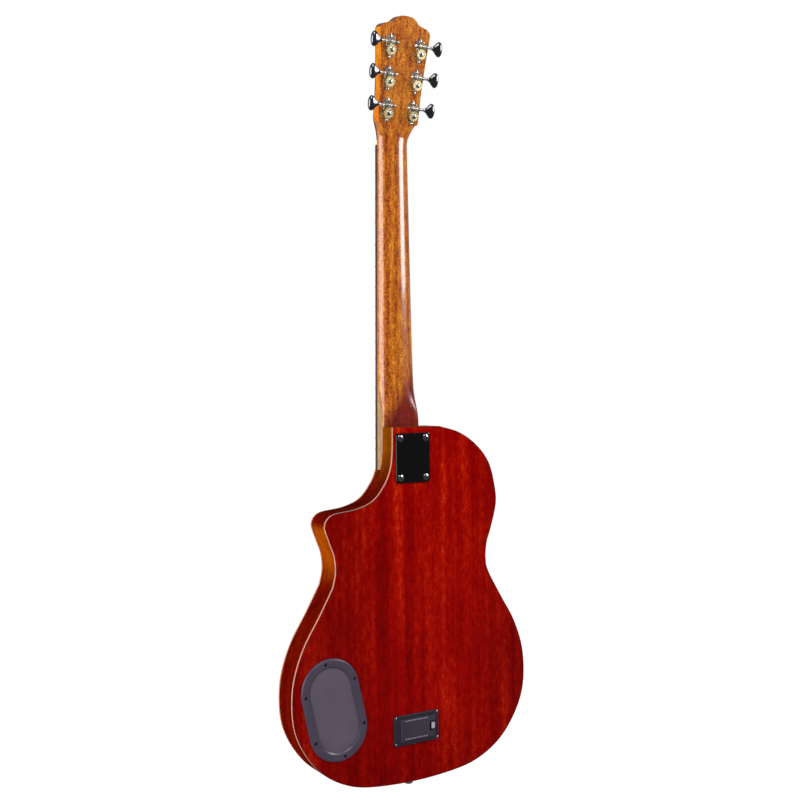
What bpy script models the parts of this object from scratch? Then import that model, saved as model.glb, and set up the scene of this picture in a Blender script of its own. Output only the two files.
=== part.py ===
# A thinline acoustic-electric guitar, full size, with its neck pointing up.
# X runs across it, and the treble side with the cutaway is at -X.
# Y runs through it, from the flat back at 0 to the soundboard and the strings.
# Z runs up the neck, and is drawn from the widest line of the lower bout.
# The last step moves the whole guitar, so that its origin is under its middle, at its base.
# The scene is in metres. Every length below is in millimetres, and MM turns it to metres.

import math

import bmesh
import bpy
from mathutils import Matrix, Vector

MM = 0.001
GAP = 0.3

# The body
BODY_DEPTH = 40.0
PLATE_THICK = 3.0
RIM_THICK = 4.5
BINDING_WIDE = 2.2
OUTLINE_TOLERANCE = 0.45
OUTLINE_TOP_Z = 329.7
BEYOND_TOP_Z = 340.0
LOWER_BOUT = [
    (112.8, 152),
    (116.8, 134),
    (136, 100.5),
    (157, 66),
    (170, 32),
    (174.5, 0),
    (171, -34),
    (157, -65),
    (133.5, -93),
    (102, -112),
    (65, -121.5),
]
BODY_END = (0, -125.5)
BASS_SHOULDER = [
    (41.7, OUTLINE_TOP_Z), (72, 321), (99, 304), (119.4, 279.6), (129, 247), (130.3, 222), (121.5, 191), (115, 173),
]
TREBLE_HORN = [(-114.2, 172), (-120, 188), (-125.4, 202), (-127.2, 210.5), (-123.5, 219), (-113, 225)]
CUTAWAY = [(-82, 229.2), (-58, 238.6), (-41, 258), (-32.6, 277), (-29.7, 297), (-28.8, OUTLINE_TOP_Z)]
BRACE_HIGH = 7.0
SOUNDHOLE_Z = 212.0
SOUNDHOLE_RADIUS = 42.0

# The neck and the fingerboard
SCALE_LENGTH = 635.0
NUT_Z = 698.0
NUT_THICK = 5.0
FRETS = 20
FRET_WIDE = 2.4
FRET_HIGH = 1.0
NECK_FRONT = 42.7
HEEL_BACK = 25.7
BOARD_FRONT = 49.0
BOARD_RADIUS = 406.0
BOARD_END_Z = 258.0
HALF_WIDTH_NUT = 22.0
HALF_WIDTH_END = 28.0
POCKET_GAP = 0.4
POCKET_MOUTH_Z = 274.0
POST_HOLE_RADIUS = 4.2
ROD_SLOT = (6.4, 33.2, 261.0, 722.0)

# The head, in its own plane: X across, Y up the head, Z out of its back
HEAD_TILT = math.radians(11)
HEAD_THICK = 13.0
VENEER_THICK = 1.5
HEAD_HALF = [
    (0, 158.2),
    (9, 157.2),
    (14.8, 153.4),
    (19.3, 149.3),
    (25.6, 147.3),
    (31.7, 145.2),
    (36, 141.5),
    (36.9, 135),
    (34.6, 114),
    (32.3, 88),
    (30.6, 60),
    (30.0, 36),
    (29.6, 27),
    (27.4, 20),
    (24.8, 13),
    (23.2, 7),
    (22.3, 3),
    (22, 0),
]
HEAD_FLARE_TOP = 24.0

# The tuners, one for each string, placed up the head from the nut
POST_STEPS = [(19.0, 34.6), (20.6, 73.9), (22.2, 113.2)]
GEAR_TEETH = 14
GEAR_MODULE = 0.95
TOOTH_ADDENDUM = 0.75
TOOTH_DEDENDUM = 1.05
TOOTH_BACKLASH = 0.5
PRESSURE_ANGLE = math.radians(20)
WORM_RADIUS = 3.1
WORM_HALF = 3.8
WORM_HEIGHT = 5.5
GEAR_THICK = 3.4
SHAFT_RADIUS = 1.5
POST_RADIUS = 3.0
POST_STAND = 15.0
TUNER_PLATE_THICK = 1.2
TUNER_PLATE_HALF = [
    (1.0, 20.6),
    (3.4, 16.6),
    (6.4, 14.6),
    (5.6, 12.6),
    (7.4, 10.9),
    (7.4, 8.4),
    (5.8, 6.6),
    (6.9, 3.2),
    (6.9, -2.6),
    (5.4, -6),
    (2.6, -7.6),
    (1.0, -11.6),
]
BUTTON_START = 15.0
BUTTON_RINGS = [
    (0, 2.6, 2.6),
    (3.0, 3.3, 2.6),
    (7.2, 8.2, 3.3),
    (10.4, 10.2, 4.0),
    (13.8, 9.3, 3.7),
    (15.7, 5.2, 2.0),
]

# The bridge and the strings
BRIDGE_TOP = 49.0
SADDLE_Z = NUT_Z - SCALE_LENGTH
SADDLE_FRONT = 53.6
PIN_Z = SADDLE_Z - 15.0
STRING_RADII = [0.15, 0.2, 0.3, 0.41, 0.53, 0.67]
NUT_STRING_STEP = 7.3
SADDLE_STRING_STEP = 10.8
NUT_STRING_Y = 50.6

# The fittings on the back
FITTING_FRONT = -2.3
PLATE_CENTRE_Z = 290.0
PLATE_SIZE = (51.0, 64.0)
SCREW_SPACING = (38.1, 50.8)
SCREW_HOLE_RADIUS = 2.8
COVER_CENTRE = (-117.3, -16.1)
COVER_TILT = math.radians(12.4)
COVER_SIZE = (80.0, 130.0)
COVER_PANEL = (57.0, 107.0)
BATTERY_CENTRE_Z = -57.6
BATTERY_FRAME_SIZE = (67.0, 38.6)
BATTERY_MOUTH = (-24.3, 29.3, 14.3)
BATTERY_WALL = 1.5
BATTERY_FLOOR_Y = 22.0
BATTERY_SIZE = (48.5, 17.5, 26.5)
HINGE_INSET = 2.9
HINGE_Y = -0.9

# The controls on the soundboard and the jack at the end
KNOB_STEP = 37.0
KNOB_RADIUS = 9.5
KNOB_HIGH = 11.5
SHAFT_HOLE_RADIUS = 3.8
PREAMP_BOARD_Y = 17.0
JACK_Y = 20.0
JACK_RADIUS = 6.0
JACK_END_Z = -134.5
PLUG_BORE_RADIUS = 3.3


def clear_scene():
    for old in list(bpy.data.objects):
        bpy.data.objects.remove(old, do_unlink=True)


def colour_of(hex_colour):
    # A material wants linear values, and the hex colour is sRGB.
    channels = [int(hex_colour[i : i + 2], 16) / 255 for i in (0, 2, 4)]
    linear = [c / 12.92 if c <= 0.04045 else ((c + 0.055) / 1.055) ** 2.4 for c in channels]
    return (*linear, 1.0)


def material(name, hex_colour, roughness, metallic=0.0):
    made = bpy.data.materials.new(name)
    made.use_nodes = True
    surface = made.node_tree.nodes["Principled BSDF"]
    surface.inputs["Base Color"].default_value = colour_of(hex_colour)
    surface.inputs["Roughness"].default_value = roughness
    surface.inputs["Metallic"].default_value = metallic
    made.diffuse_color = colour_of(hex_colour)
    return made


# Shapes. Each returns a bmesh in millimetres.


def mesh_of(points, faces):
    bm = bmesh.new()
    made = [bm.verts.new(point) for point in points]
    for face in faces:
        bm.faces.new([made[i] for i in face])
    bmesh.ops.recalc_face_normals(bm, faces=bm.faces)
    return bm


def loft(rings, closed=False):
    # Joins equal rings of points in turn. Its two ends are capped, or joined to each other if closed.
    count = len(rings[0])
    points = [point for ring in rings for point in ring]
    spans = len(rings) if closed else len(rings) - 1
    faces = []
    for span in range(spans):
        low = span * count
        high = (span + 1) % len(rings) * count
        for i in range(count):
            j = (i + 1) % count
            faces.append((low + i, low + j, high + j, high + i))
    if not closed:
        faces.append(tuple(range(count))[::-1])
        faces.append(tuple(range((len(rings) - 1) * count, len(rings) * count)))
    return mesh_of(points, faces)


def plate(outline, low, high):
    # A flat plate: an outline of (x, z) points between two Y levels.
    return loft([[(x, y, z) for x, z in outline] for y in (low, high)])


def slab(outline, low, high):
    # The same in a frame whose plate normal is Z.
    return loft([[(x, y, z) for x, y in outline] for z in (low, high)])


def block(x_range, y_range, z_range):
    corners = [(x_range[i], z_range[j]) for i, j in ((0, 0), (1, 0), (1, 1), (0, 1))]
    return plate(corners, *y_range)


def turned(profile, sides):
    # A profile of (radius, height) turned about Z. It starts and ends on the axis.
    bm = bmesh.new()
    rings = []
    for radius, height in profile:
        if radius == 0:
            rings.append([bm.verts.new((0, 0, height))])
            continue
        turns = [2 * math.pi * i / sides for i in range(sides)]
        rings.append([bm.verts.new((radius * math.cos(t), radius * math.sin(t), height)) for t in turns])
    for first, second in zip(rings, rings[1:]):
        for i in range(sides):
            j = (i + 1) % sides
            if len(first) == 1:
                bm.faces.new((first[0], second[i], second[j]))
            elif len(second) == 1:
                bm.faces.new((first[i], second[0], first[j]))
            else:
                bm.faces.new((first[i], second[i], second[j], first[j]))
    bmesh.ops.recalc_face_normals(bm, faces=bm.faces)
    return bm


def rod(radius, low, high, sides):
    return turned([(0, low), (radius, low), (radius, high), (0, high)], sides)


def moved(bm, matrix):
    bmesh.ops.transform(bm, matrix=matrix, verts=bm.verts)
    if matrix.determinant() < 0:
        bmesh.ops.reverse_faces(bm, faces=bm.faces)
    return bm


def along_y(bm, x, z):
    # Turns a shape about Z into one about Y, with its height running to +Y, at (x, z).
    return moved(bm, Matrix.Translation((x, 0, z)) @ Matrix.Rotation(math.radians(-90), 4, "X"))


def along_x(bm):
    return moved(bm, Matrix.Rotation(math.radians(90), 4, "Y"))


def helper_object(bm):
    mesh = bpy.data.meshes.new("helper")
    bm.to_mesh(mesh)
    bm.free()
    helper = bpy.data.objects.new("helper", mesh)
    bpy.context.scene.collection.objects.link(helper)
    return helper


def combined(bm, operation, others):
    # The Boolean of one shape with each of the others in turn, as a new bmesh.
    base = helper_object(bm)
    helpers = [helper_object(other) for other in others]
    for helper in helpers:
        step = base.modifiers.new(operation, "BOOLEAN")
        step.operation = operation
        step.object = helper
        step.solver = "EXACT"
    graph = bpy.context.evaluated_depsgraph_get()
    result = bmesh.new()
    result.from_mesh(base.evaluated_get(graph).to_mesh())
    for helper in [base, *helpers]:
        mesh = helper.data
        bpy.data.objects.remove(helper, do_unlink=True)
        bpy.data.meshes.remove(mesh)
    return result


def cut(bm, *others):
    return combined(bm, "DIFFERENCE", others)


def joined(bm, *others):
    return combined(bm, "UNION", others)


def node(name, bm, look, place=None, smooth_angle=32):
    # Makes the named object. Its mesh is in the frame of place, whose origin is the object's own.
    mesh = bpy.data.meshes.new(name)
    bmesh.ops.scale(bm, vec=(MM, MM, MM), verts=bm.verts)
    bm.to_mesh(mesh)
    bm.free()
    mesh.materials.append(look)
    mesh.shade_smooth()
    mesh.set_sharp_from_angle(angle=math.radians(smooth_angle))
    made = bpy.data.objects.new(name, mesh)
    bpy.context.scene.collection.objects.link(made)
    if place is not None:
        made.matrix_world = in_metres(place)
    return made


def in_metres(matrix):
    scaled = matrix.copy()
    scaled.translation = matrix.translation * MM
    return scaled


# Curves and outlines


def smooth_curve(points, steps=10):
    # A Catmull-Rom curve through the points, with its ends left straight.
    vectors = [Vector(point) for point in points]
    first = vectors[0] * 2 - vectors[1]
    last = vectors[-1] * 2 - vectors[-2]
    vectors = [first, *vectors, last]
    curve = []
    for i in range(1, len(vectors) - 2):
        a, b, c, d = vectors[i - 1 : i + 3]
        for k in range(steps):
            t = k / steps
            square, cube = (2 * a - 5 * b + 4 * c - d) * t**2, (3 * b - a - 3 * c + d) * t**3
            curve.append(0.5 * (2 * b + (c - a) * t + square + cube))
    curve.append(vectors[-2])
    return curve


def thinned(curve, tolerance):
    # Drops the points that lie within the tolerance of a straight line between those it keeps.
    start, end = curve[0], curve[-1]
    line = end - start
    length = max(line.length, 1e-9)
    away = [abs(line.cross(point - start)) / length for point in curve]
    far = max(range(len(curve)), key=away.__getitem__)
    if away[far] <= tolerance:
        return [start, end]
    return thinned(curve[: far + 1], tolerance)[:-1] + thinned(curve[far:], tolerance)


def body_outline():
    # From the heel's bass side round the lower bout to the sharp corner at the cutaway's top.
    mirrored = [(-x, z) for x, z in LOWER_BOUT[::-1]]
    bass = smooth_curve([*BASS_SHOULDER, *LOWER_BOUT, BODY_END, *mirrored[:-1]])
    treble = smooth_curve([(-x, z) for x, z in LOWER_BOUT[1::-1]] + TREBLE_HORN + CUTAWAY)
    outline = thinned([Vector(p) for p in bass], OUTLINE_TOLERANCE)[:-1]
    outline += thinned([Vector(p) for p in treble], OUTLINE_TOLERANCE)
    return [(p.x, p.y) for p in outline]


def inset(outline, distance):
    # Moves each side of a closed outline inwards and meets neighbouring sides again.
    count = len(outline)
    area = sum(outline[i - 1][0] * outline[i][1] - outline[i][0] * outline[i - 1][1] for i in range(count))
    side = 1 if area > 0 else -1
    result = []
    for i in range(count):
        here = Vector(outline[i])
        before = (here - Vector(outline[i - 1])).normalized()
        after = (Vector(outline[(i + 1) % count]) - here).normalized()
        normal_before = Vector((-before.y, before.x)) * side
        normal_after = Vector((-after.y, after.x)) * side
        middle = (normal_before + normal_after).normalized()
        reach = distance / max(middle.dot(normal_before), 0.4)
        result.append(tuple(here + middle * reach))
    return result


def rounded_box(width, height, radius, corner_steps=3, centre=(0, 0)):
    points = []
    for turn, (sx, sz) in enumerate(((1, 1), (-1, 1), (-1, -1), (1, -1))):
        for k in range(corner_steps + 1):
            angle = math.pi / 2 * (turn + k / corner_steps)
            x = centre[0] + sx * (width / 2 - radius) + radius * math.cos(angle)
            z = centre[1] + sz * (height / 2 - radius) + radius * math.sin(angle)
            points.append((x, z))
    return points


def oval(width, height, steps=12):
    # A stadium, standing up: two half circles joined by straight sides.
    radius = width / 2
    straight = height / 2 - radius
    points = []
    for sign, turn in ((1, 0), (-1, math.pi)):
        for k in range(steps + 1):
            angle = turn + math.pi * k / steps
            points.append((radius * math.cos(angle), sign * straight + radius * math.sin(angle)))
    return points


def disc(radius, sides, centre=(0, 0)):
    turns = [2 * math.pi * (i + 0.5) / sides for i in range(sides)]
    return [(centre[0] + radius * math.cos(t), centre[1] + radius * math.sin(t)) for t in turns]


def both_halves(half):
    # A right half listed down from the centreline, mirrored to a closed outline.
    left = [(-x, y) for x, y in reversed(half) if x > 0]
    return list(half) + left


def half_width(z):
    # Half the width of the neck and the fingerboard at this height.
    t = (NUT_Z - z) / (NUT_Z - BOARD_END_Z)
    return HALF_WIDTH_NUT + (HALF_WIDTH_END - HALF_WIDTH_NUT) * max(t, 0)


def arch(x):
    # How far the rounded playing surface falls away at this distance from the centreline.
    return x * x / (2 * BOARD_RADIUS)


def head_frame():
    # The head's back face starts where its front face meets the neck's, at the nut's far side.
    across = Vector((1, 0, 0))
    up = Vector((0, -math.sin(HEAD_TILT), math.cos(HEAD_TILT)))
    out = across.cross(up)
    start = Vector((0, NECK_FRONT, NUT_Z + NUT_THICK)) + out * HEAD_THICK
    return Matrix.Translation(start) @ Matrix((across, up, out)).transposed().to_4x4()


def pocket_cutter():
    # The neck's pocket: open at the body's top, at the soundboard and at the cutaway.
    end_z = BOARD_END_Z - POCKET_GAP
    mouth = BODY_DEPTH + 5
    outline = [
        (half_width(end_z) + POCKET_GAP, end_z),
        (half_width(BEYOND_TOP_Z) + POCKET_GAP, BEYOND_TOP_Z),
        (-60, BEYOND_TOP_Z),
        (-60, POCKET_MOUTH_Z),
        (-half_width(POCKET_MOUTH_Z) - POCKET_GAP, POCKET_MOUTH_Z),
        (-half_width(end_z) - POCKET_GAP, end_z),
    ]
    return plate(outline, HEEL_BACK - GAP, mouth)


def screw_places():
    dx, dz = SCREW_SPACING[0] / 2, SCREW_SPACING[1] / 2
    return [(x, PLATE_CENTRE_Z + z) for x in (-dx, dx) for z in (-dz, dz)]


def screw_holes(radius, low, high):
    return [along_y(rod(radius, low, high, 8), x, z) for x, z in screw_places()]


def cover_place():
    # The oval cover's frame: its own (x, z) is turned in the plane of the back.
    return Matrix.Translation((COVER_CENTRE[0], 0, COVER_CENTRE[1])) @ Matrix.Rotation(-COVER_TILT, 4, "Y")


def knob_places():
    place = cover_place()
    return [place @ Vector((0, 0, KNOB_STEP * k)) for k in (1, 0, -1)]


# The body


def make_body(look):
    outline = body_outline()
    inner = inset(outline, RIM_THICK)
    edge = inset(outline, BINDING_WIDE)
    field = inset(outline, BINDING_WIDE + GAP)
    rim_low = PLATE_THICK + GAP
    rim_high = BODY_DEPTH - PLATE_THICK - GAP
    jack_hole = moved(rod(JACK_RADIUS + 2 * GAP, JACK_END_Z, -60, 12), Matrix.Translation((0, JACK_Y, 0)))

    def hoop(outside, inside, low, high):
        levels = ((outside, low), (outside, high), (inside, high), (inside, low))
        return loft([[(x, y, z) for x, z in line] for line, y in levels], closed=True)

    rim = cut(hoop(outline, inner, rim_low, rim_high), pocket_cutter(), jack_hole.copy())
    node("rim", rim, look["side"])

    back = plate(field, 0, PLATE_THICK)
    low, high, half = BATTERY_MOUTH
    margin = BATTERY_WALL + GAP
    battery_hole = block(
        (low - margin, high + margin),
        (-5, 8),
        (BATTERY_CENTRE_Z - half - margin, BATTERY_CENTRE_Z + half + margin),
    )
    control_hole = moved(plate(oval(62, 112), -5, 8), cover_place())
    back = cut(back, battery_hole, control_hole, *screw_holes(SCREW_HOLE_RADIUS, -5, 8))
    node("back_plate", back, look["back"])

    top = plate(field, BODY_DEPTH - PLATE_THICK, BODY_DEPTH)
    soundhole = plate(disc(SOUNDHOLE_RADIUS, 32, (0, SOUNDHOLE_Z)), 30, 45)
    shaft_holes = [along_y(rod(SHAFT_HOLE_RADIUS, 30, 45, 10), p.x, p.z) for p in knob_places()]
    node("top_plate", cut(top, soundhole, pocket_cutter(), *shaft_holes), look["top"])

    node("back_binding", hoop(outline, edge, 0, PLATE_THICK), look["cream"])
    binding = hoop(outline, edge, BODY_DEPTH - PLATE_THICK, BODY_DEPTH)
    node("top_binding", cut(binding, pocket_cutter()), look["cream"])

    inside = plate(inset(outline, RIM_THICK + GAP), rim_low, rim_high)
    neck_space = block((-70, 52), (0, BODY_DEPTH), (BOARD_END_Z - 14, BEYOND_TOP_Z))
    neck_block = combined(inside.copy(), "INTERSECT", [neck_space])
    neck_block = cut(neck_block, pocket_cutter(), *screw_holes(SCREW_HOLE_RADIUS, 0, 30))
    node("neck_block", neck_block, look["mahogany"])
    tail_space = block((-34, 34), (0, BODY_DEPTH), (-140, -98))
    node("tail_block", cut(combined(inside, "INTERSECT", [tail_space]), jack_hole), look["mahogany"])

    for name, z, reach in (("back_brace_upper", 196, 92), ("back_brace_lower", 52, 128)):
        profile = [(-6, rim_low), (6, rim_low), (6, 6.5), (2.5, 10.5), (-2.5, 10.5), (-6, 6.5)]
        node(name, loft([[(x, y, z + w) for w, y in profile] for x in (-reach, reach)]), look["spruce"])

    bars = []
    for side in (-1, 1):
        start, end = Vector((side * 62.5, 214)), Vector((-side * 92, -6))
        normal = (end - start).orthogonal().normalized() * 3.5
        bar = [start + normal, start - normal, end - normal, end + normal]
        bars.append(plate([tuple(p) for p in bar], rim_high - BRACE_HIGH, rim_high))
    node("top_x_brace", joined(*bars), look["spruce"])


def make_inner_plate(look):
    # The hardwood plate glued under the bridge sits between the legs of the X brace.
    high = BODY_DEPTH - PLATE_THICK - GAP
    shape = [(-55, SADDLE_Z - 26), (55, SADDLE_Z - 26), (35, SADDLE_Z + 4), (-35, SADDLE_Z + 4)]
    node("bridge_plate", plate(shape, high - 2.5, high), look["mahogany"])


# The neck


def head_half_width(up):
    # Half the width of the head at this height above the nut.
    for (high_x, high_y), (low_x, low_y) in zip(HEAD_HALF[7:], HEAD_HALF[8:]):
        if low_y <= up <= high_y:
            return low_x + (high_x - low_x) * (up - low_y) / (high_y - low_y)


def flare_section(up, power):
    # Where the round neck turns into the flat head, on the head's own outline and back.
    past_nut = up * math.cos(HEAD_TILT)
    front = NECK_FRONT - math.tan(HEAD_TILT) * past_nut
    back = front - HEAD_THICK / math.cos(HEAD_TILT) + 0.05
    return section_ring(NUT_Z + NUT_THICK + past_nut, head_half_width(up) - 0.05, front - 0.4, back, power)


def neck_section(z, back, power):
    return section_ring(z, half_width(z), NECK_FRONT, back, power)


def section_ring(z, wide, front, back, power):
    # Flat in front, and rounded behind by a superellipse: a high power is square, 2 is round.
    steps = 13
    ring = []
    for i in range(steps + 1):
        angle = math.pi * i / steps
        cosine, sine = math.cos(angle), max(math.sin(angle), 0)
        x = wide * math.copysign(abs(cosine) ** (2 / power), cosine)
        ring.append((x, front - (front - back) * sine ** (2 / power), z))
    return ring


def make_neck(look):
    sections = [
        (BOARD_END_Z, HEEL_BACK, 16),
        (336, HEEL_BACK, 16),
        (348, HEEL_BACK + 0.1, 9),
        (357, HEEL_BACK + 0.3, 5),
        (366, HEEL_BACK + 0.6, 3.3),
        (380, 26.6, 2.5),
        (440, 26.9, 2.25),
        (560, 27.6, 2.2),
        (668, 28.4, 2.2),
        (690, 28.7, 2.2),
        (702, 28.9, 2.25),
    ]
    flare = [(4, 2.3), (9, 2.6), (14, 3.3), (19, 5), (23, 9), (28, 24)]
    rings = [neck_section(*section) for section in sections]
    shaft = loft(rings + [flare_section(*section) for section in flare])
    frame = head_frame()
    head_line = [p for p in HEAD_HALF if p[1] > HEAD_FLARE_TOP]
    head_line.append((head_half_width(HEAD_FLARE_TOP), HEAD_FLARE_TOP))
    head = moved(slab(both_halves(head_line), -HEAD_THICK, 0), frame)
    rod_slot = block((-ROD_SLOT[0] / 2, ROD_SLOT[0] / 2), (ROD_SLOT[1], 50), ROD_SLOT[2:])
    post_holes = [
        moved(rod(POST_HOLE_RADIUS, -HEAD_THICK - 3, 3, 8), frame @ Matrix.Translation((side * x, y, 0)))
        for x, y in POST_STEPS
        for side in (-1, 1)
    ]
    pilot_holes = screw_holes(2.7, HEEL_BACK - 5, 39)
    node("neck", cut(joined(shaft, head), rod_slot, *post_holes, *pilot_holes), look["neck"])

    half = ROD_SLOT[0] / 2 - GAP
    bar = block((-half, half), (ROD_SLOT[1] + GAP, NECK_FRONT - GAP), (ROD_SLOT[2] + 1, 701))
    rod_nut = moved(rod(2.6, 700, 716, 6), Matrix.Translation((0, ROD_SLOT[1] + 3.2, 0)))
    node("truss_rod", joined(bar, rod_nut), look["steel"])

    veneer_top = -HEAD_THICK - GAP
    veneer = slab(both_halves(HEAD_HALF[:-1] + [(22.2, GAP)]), veneer_top - VENEER_THICK, veneer_top)
    spots = [(side * x, y) for x, y in POST_STEPS for side in (-1, 1)]
    holes = [slab(disc(POST_HOLE_RADIUS, 8, spot), -20, -10) for spot in spots]
    access = slab([(-4, -2), (4, -2), (4, 17), (-4, 17)], -20, -10)
    node("head_veneer", cut(veneer, access, *holes), look["rosewood"], frame)

    cover_back = -HEAD_THICK - VENEER_THICK - 2 * GAP
    bell = smooth_curve([(0, 30), (4.5, 26.5), (6, 19), (10.5, 9), (13, 2)], 2)
    bell = both_halves([tuple(p) for p in bell])
    node("truss_rod_cover", slab(bell, cover_back - 1.6, cover_back), look["black"], frame)


def board_section(z, rise):
    # The board's bottom is flat, and its top follows the playing radius.
    wide = half_width(z)
    bottom = NECK_FRONT + GAP
    ring = [(wide, bottom, z), (-wide, bottom, z)]
    for k in range(5):
        x = wide * (k / 2 - 1)
        ring.append((x, BOARD_FRONT + rise - arch(x), z))
    return ring


def make_fingerboard(look):
    # One sweep along the neck makes the board with its frets standing on it.
    rings = [board_section(NUT_Z - GAP, 0)]
    for fret in range(1, FRETS + 1):
        z = NUT_Z - SCALE_LENGTH * (1 - 2 ** (-fret / 12))
        foot = FRET_WIDE / 2
        for shift, rise in ((foot, 0), (0, FRET_HIGH), (-foot, 0)):
            rings.append(board_section(z + shift, rise))
    rings.append(board_section(BOARD_END_Z, 0))
    node("fingerboard", loft(rings), look["rosewood"], smooth_angle=20)


def string_number_place(number, step):
    # String 1 is the thin one on the treble side, at -X, and string 6 is on the bass side.
    return (number - 3.5) * step


def make_nut(look):
    top = BOARD_FRONT + 2.4
    section = []
    for x in (-HALF_WIDTH_NUT, -11, 0, 11, HALF_WIDTH_NUT):
        section.append((x, top - arch(x)))
    outline = [(HALF_WIDTH_NUT, NECK_FRONT + GAP), (-HALF_WIDTH_NUT, NECK_FRONT + GAP)] + section
    low, high = NUT_Z, NUT_Z + NUT_THICK - 0.4
    nut = loft([[(x, y, z) for x, y in outline] for z in (low, high)])
    slots = []
    for number, radius in enumerate(STRING_RADII, 1):
        x = string_number_place(number, NUT_STRING_STEP)
        bottom = NUT_STRING_Y - arch(x) - radius - GAP
        slots.append(block((x - radius - 0.35, x + radius + 0.35), (bottom, 60), (NUT_Z - 3, NUT_Z + 9)))
    node("nut", cut(nut, *slots), look["bone"])


# The tuners, each in a frame whose origin is on its post axis at the head's back face


def gear_pitch():
    return math.pi * GEAR_MODULE


def worm_offset():
    return GEAR_MODULE * GEAR_TEETH / 2 + WORM_RADIUS


def worm_mesh():
    # A single-start thread. At rest a gap faces the gear, in the middle of the worm.
    pitch = gear_pitch()
    gap_half = (pitch / 2 + TOOTH_BACKLASH) / 2
    slope = math.tan(PRESSURE_ANGLE)
    root_half = gap_half - TOOTH_DEDENDUM * slope
    crest_half = gap_half + TOOTH_ADDENDUM * slope
    root, crest = WORM_RADIUS - TOOTH_DEDENDUM, WORM_RADIUS + TOOTH_ADDENDUM
    sides = 10
    turns = 2
    profile = [(-crest_half, crest), (-root_half, root), (root_half, root), (crest_half, crest)]
    bm = bmesh.new()
    lines = []
    for step in range(-turns * sides, turns * sides + 1):
        angle = 2 * math.pi * step / sides
        shift = pitch * step / sides
        line = [
            bm.verts.new((x + shift, -r * math.cos(angle), -r * math.sin(angle))) for x, r in profile
        ]
        lines.append(line)
    for first, second in zip(lines, lines[1:]):
        for a in range(3):
            bm.faces.new((first[a], first[a + 1], second[a + 1], second[a]))
    # The crest joins each turn's last edge to the next turn's first edge.
    for first, second, third, fourth in zip(lines, lines[1:], lines[sides:], lines[sides + 1 :]):
        bm.faces.new((first[3], third[0], fourth[0], second[3]))
    edges = [edge for edge in bm.edges if edge.is_boundary]
    ends = bmesh.ops.holes_fill(bm, edges=edges, sides=0)
    bmesh.ops.triangulate(bm, faces=ends["faces"])
    bmesh.ops.recalc_face_normals(bm, faces=bm.faces)
    middle = block((-WORM_HALF, WORM_HALF), (-9, 9), (-9, 9))
    return combined(bm, "INTERSECT", [middle])


def make_worm(name, look, frame, side):
    shaft = along_x(
        turned(
            [(0, -10.6), (1.4, -10.4), (2.1, -9.2), (2.1, -8.6), (1.5, -7.5)]
            + [(SHAFT_RADIUS, BUTTON_START + 1), (0, BUTTON_START + 1)],
            8,
        )
    )
    button = loft(
        [
            [
                (BUTTON_START + u, high * math.cos(t), thick * math.sin(t))
                for t in (2 * math.pi * (i + 0.5) / 12 for i in range(12))
            ]
            for u, high, thick in BUTTON_RINGS
        ]
    )
    bm = joined(shaft, worm_mesh(), button)
    moved(bm, Matrix.Scale(side, 4, (1, 0, 0)))
    return node(name, bm, look, frame @ Matrix.Translation((0, worm_offset(), WORM_HEIGHT)))


def gear_outline(turn):
    pitch = gear_pitch()
    radius = GEAR_MODULE * GEAR_TEETH / 2
    slope = math.tan(PRESSURE_ANGLE)
    half = (pitch / 2 - TOOTH_BACKLASH) / 2
    root, tip = radius - TOOTH_DEDENDUM, radius + TOOTH_ADDENDUM
    flank = ((root, half + TOOTH_DEDENDUM * slope), (tip, half - TOOTH_ADDENDUM * slope))
    points = []
    for tooth in range(GEAR_TEETH):
        centre = math.pi / 2 + turn + 2 * math.pi * tooth / GEAR_TEETH
        angles = [(r, centre - w / r) for r, w in flank] + [(r, centre + w / r) for r, w in reversed(flank)]
        points += [(r * math.cos(a), r * math.sin(a)) for r, a in angles]
    return points


def make_gear(name, look, frame, side):
    # The teeth lean by the worm's lead angle. The hub and the string post are turned with the gear.
    lead = gear_pitch() / (2 * math.pi * WORM_RADIUS)
    lean = GEAR_THICK / 2 * lead / (GEAR_MODULE * GEAR_TEETH / 2)
    low, high = WORM_HEIGHT - GEAR_THICK / 2, WORM_HEIGHT + GEAR_THICK / 2
    teeth = loft(
        [[(x, y, z) for x, y in gear_outline(turn)] for z, turn in ((low, lean), (high, -lean))]
    )
    tip = -(HEAD_THICK + VENEER_THICK + POST_STAND)
    profile = [
        (0, tip),
        (POST_RADIUS, tip + 0.8),
        (POST_RADIUS, tip + 3),
        (2.4, tip + 4.5),
        (2.4, tip + 7),
        (POST_RADIUS, tip + 8.5),
        (POST_RADIUS, TUNER_PLATE_THICK + GAP),
        (4.4, TUNER_PLATE_THICK + GAP),
        (4.2, high + 0.4),
        (3.4, high + 1.0),
        (0, high + 1.0),
    ]
    post = turned(profile, 8)
    slot = block((-0.5, 0.5), (-6, 6), (high + 0.55, high + 3))
    hole = moved(along_x(rod(0.9, -6, 6, 6)), Matrix.Translation((0, 0, tip + 5.7)))
    bm = cut(joined(teeth, post), slot, hole)
    moved(bm, Matrix.Scale(side, 4, (1, 0, 0)))
    return node(name, bm, look, frame)


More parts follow.
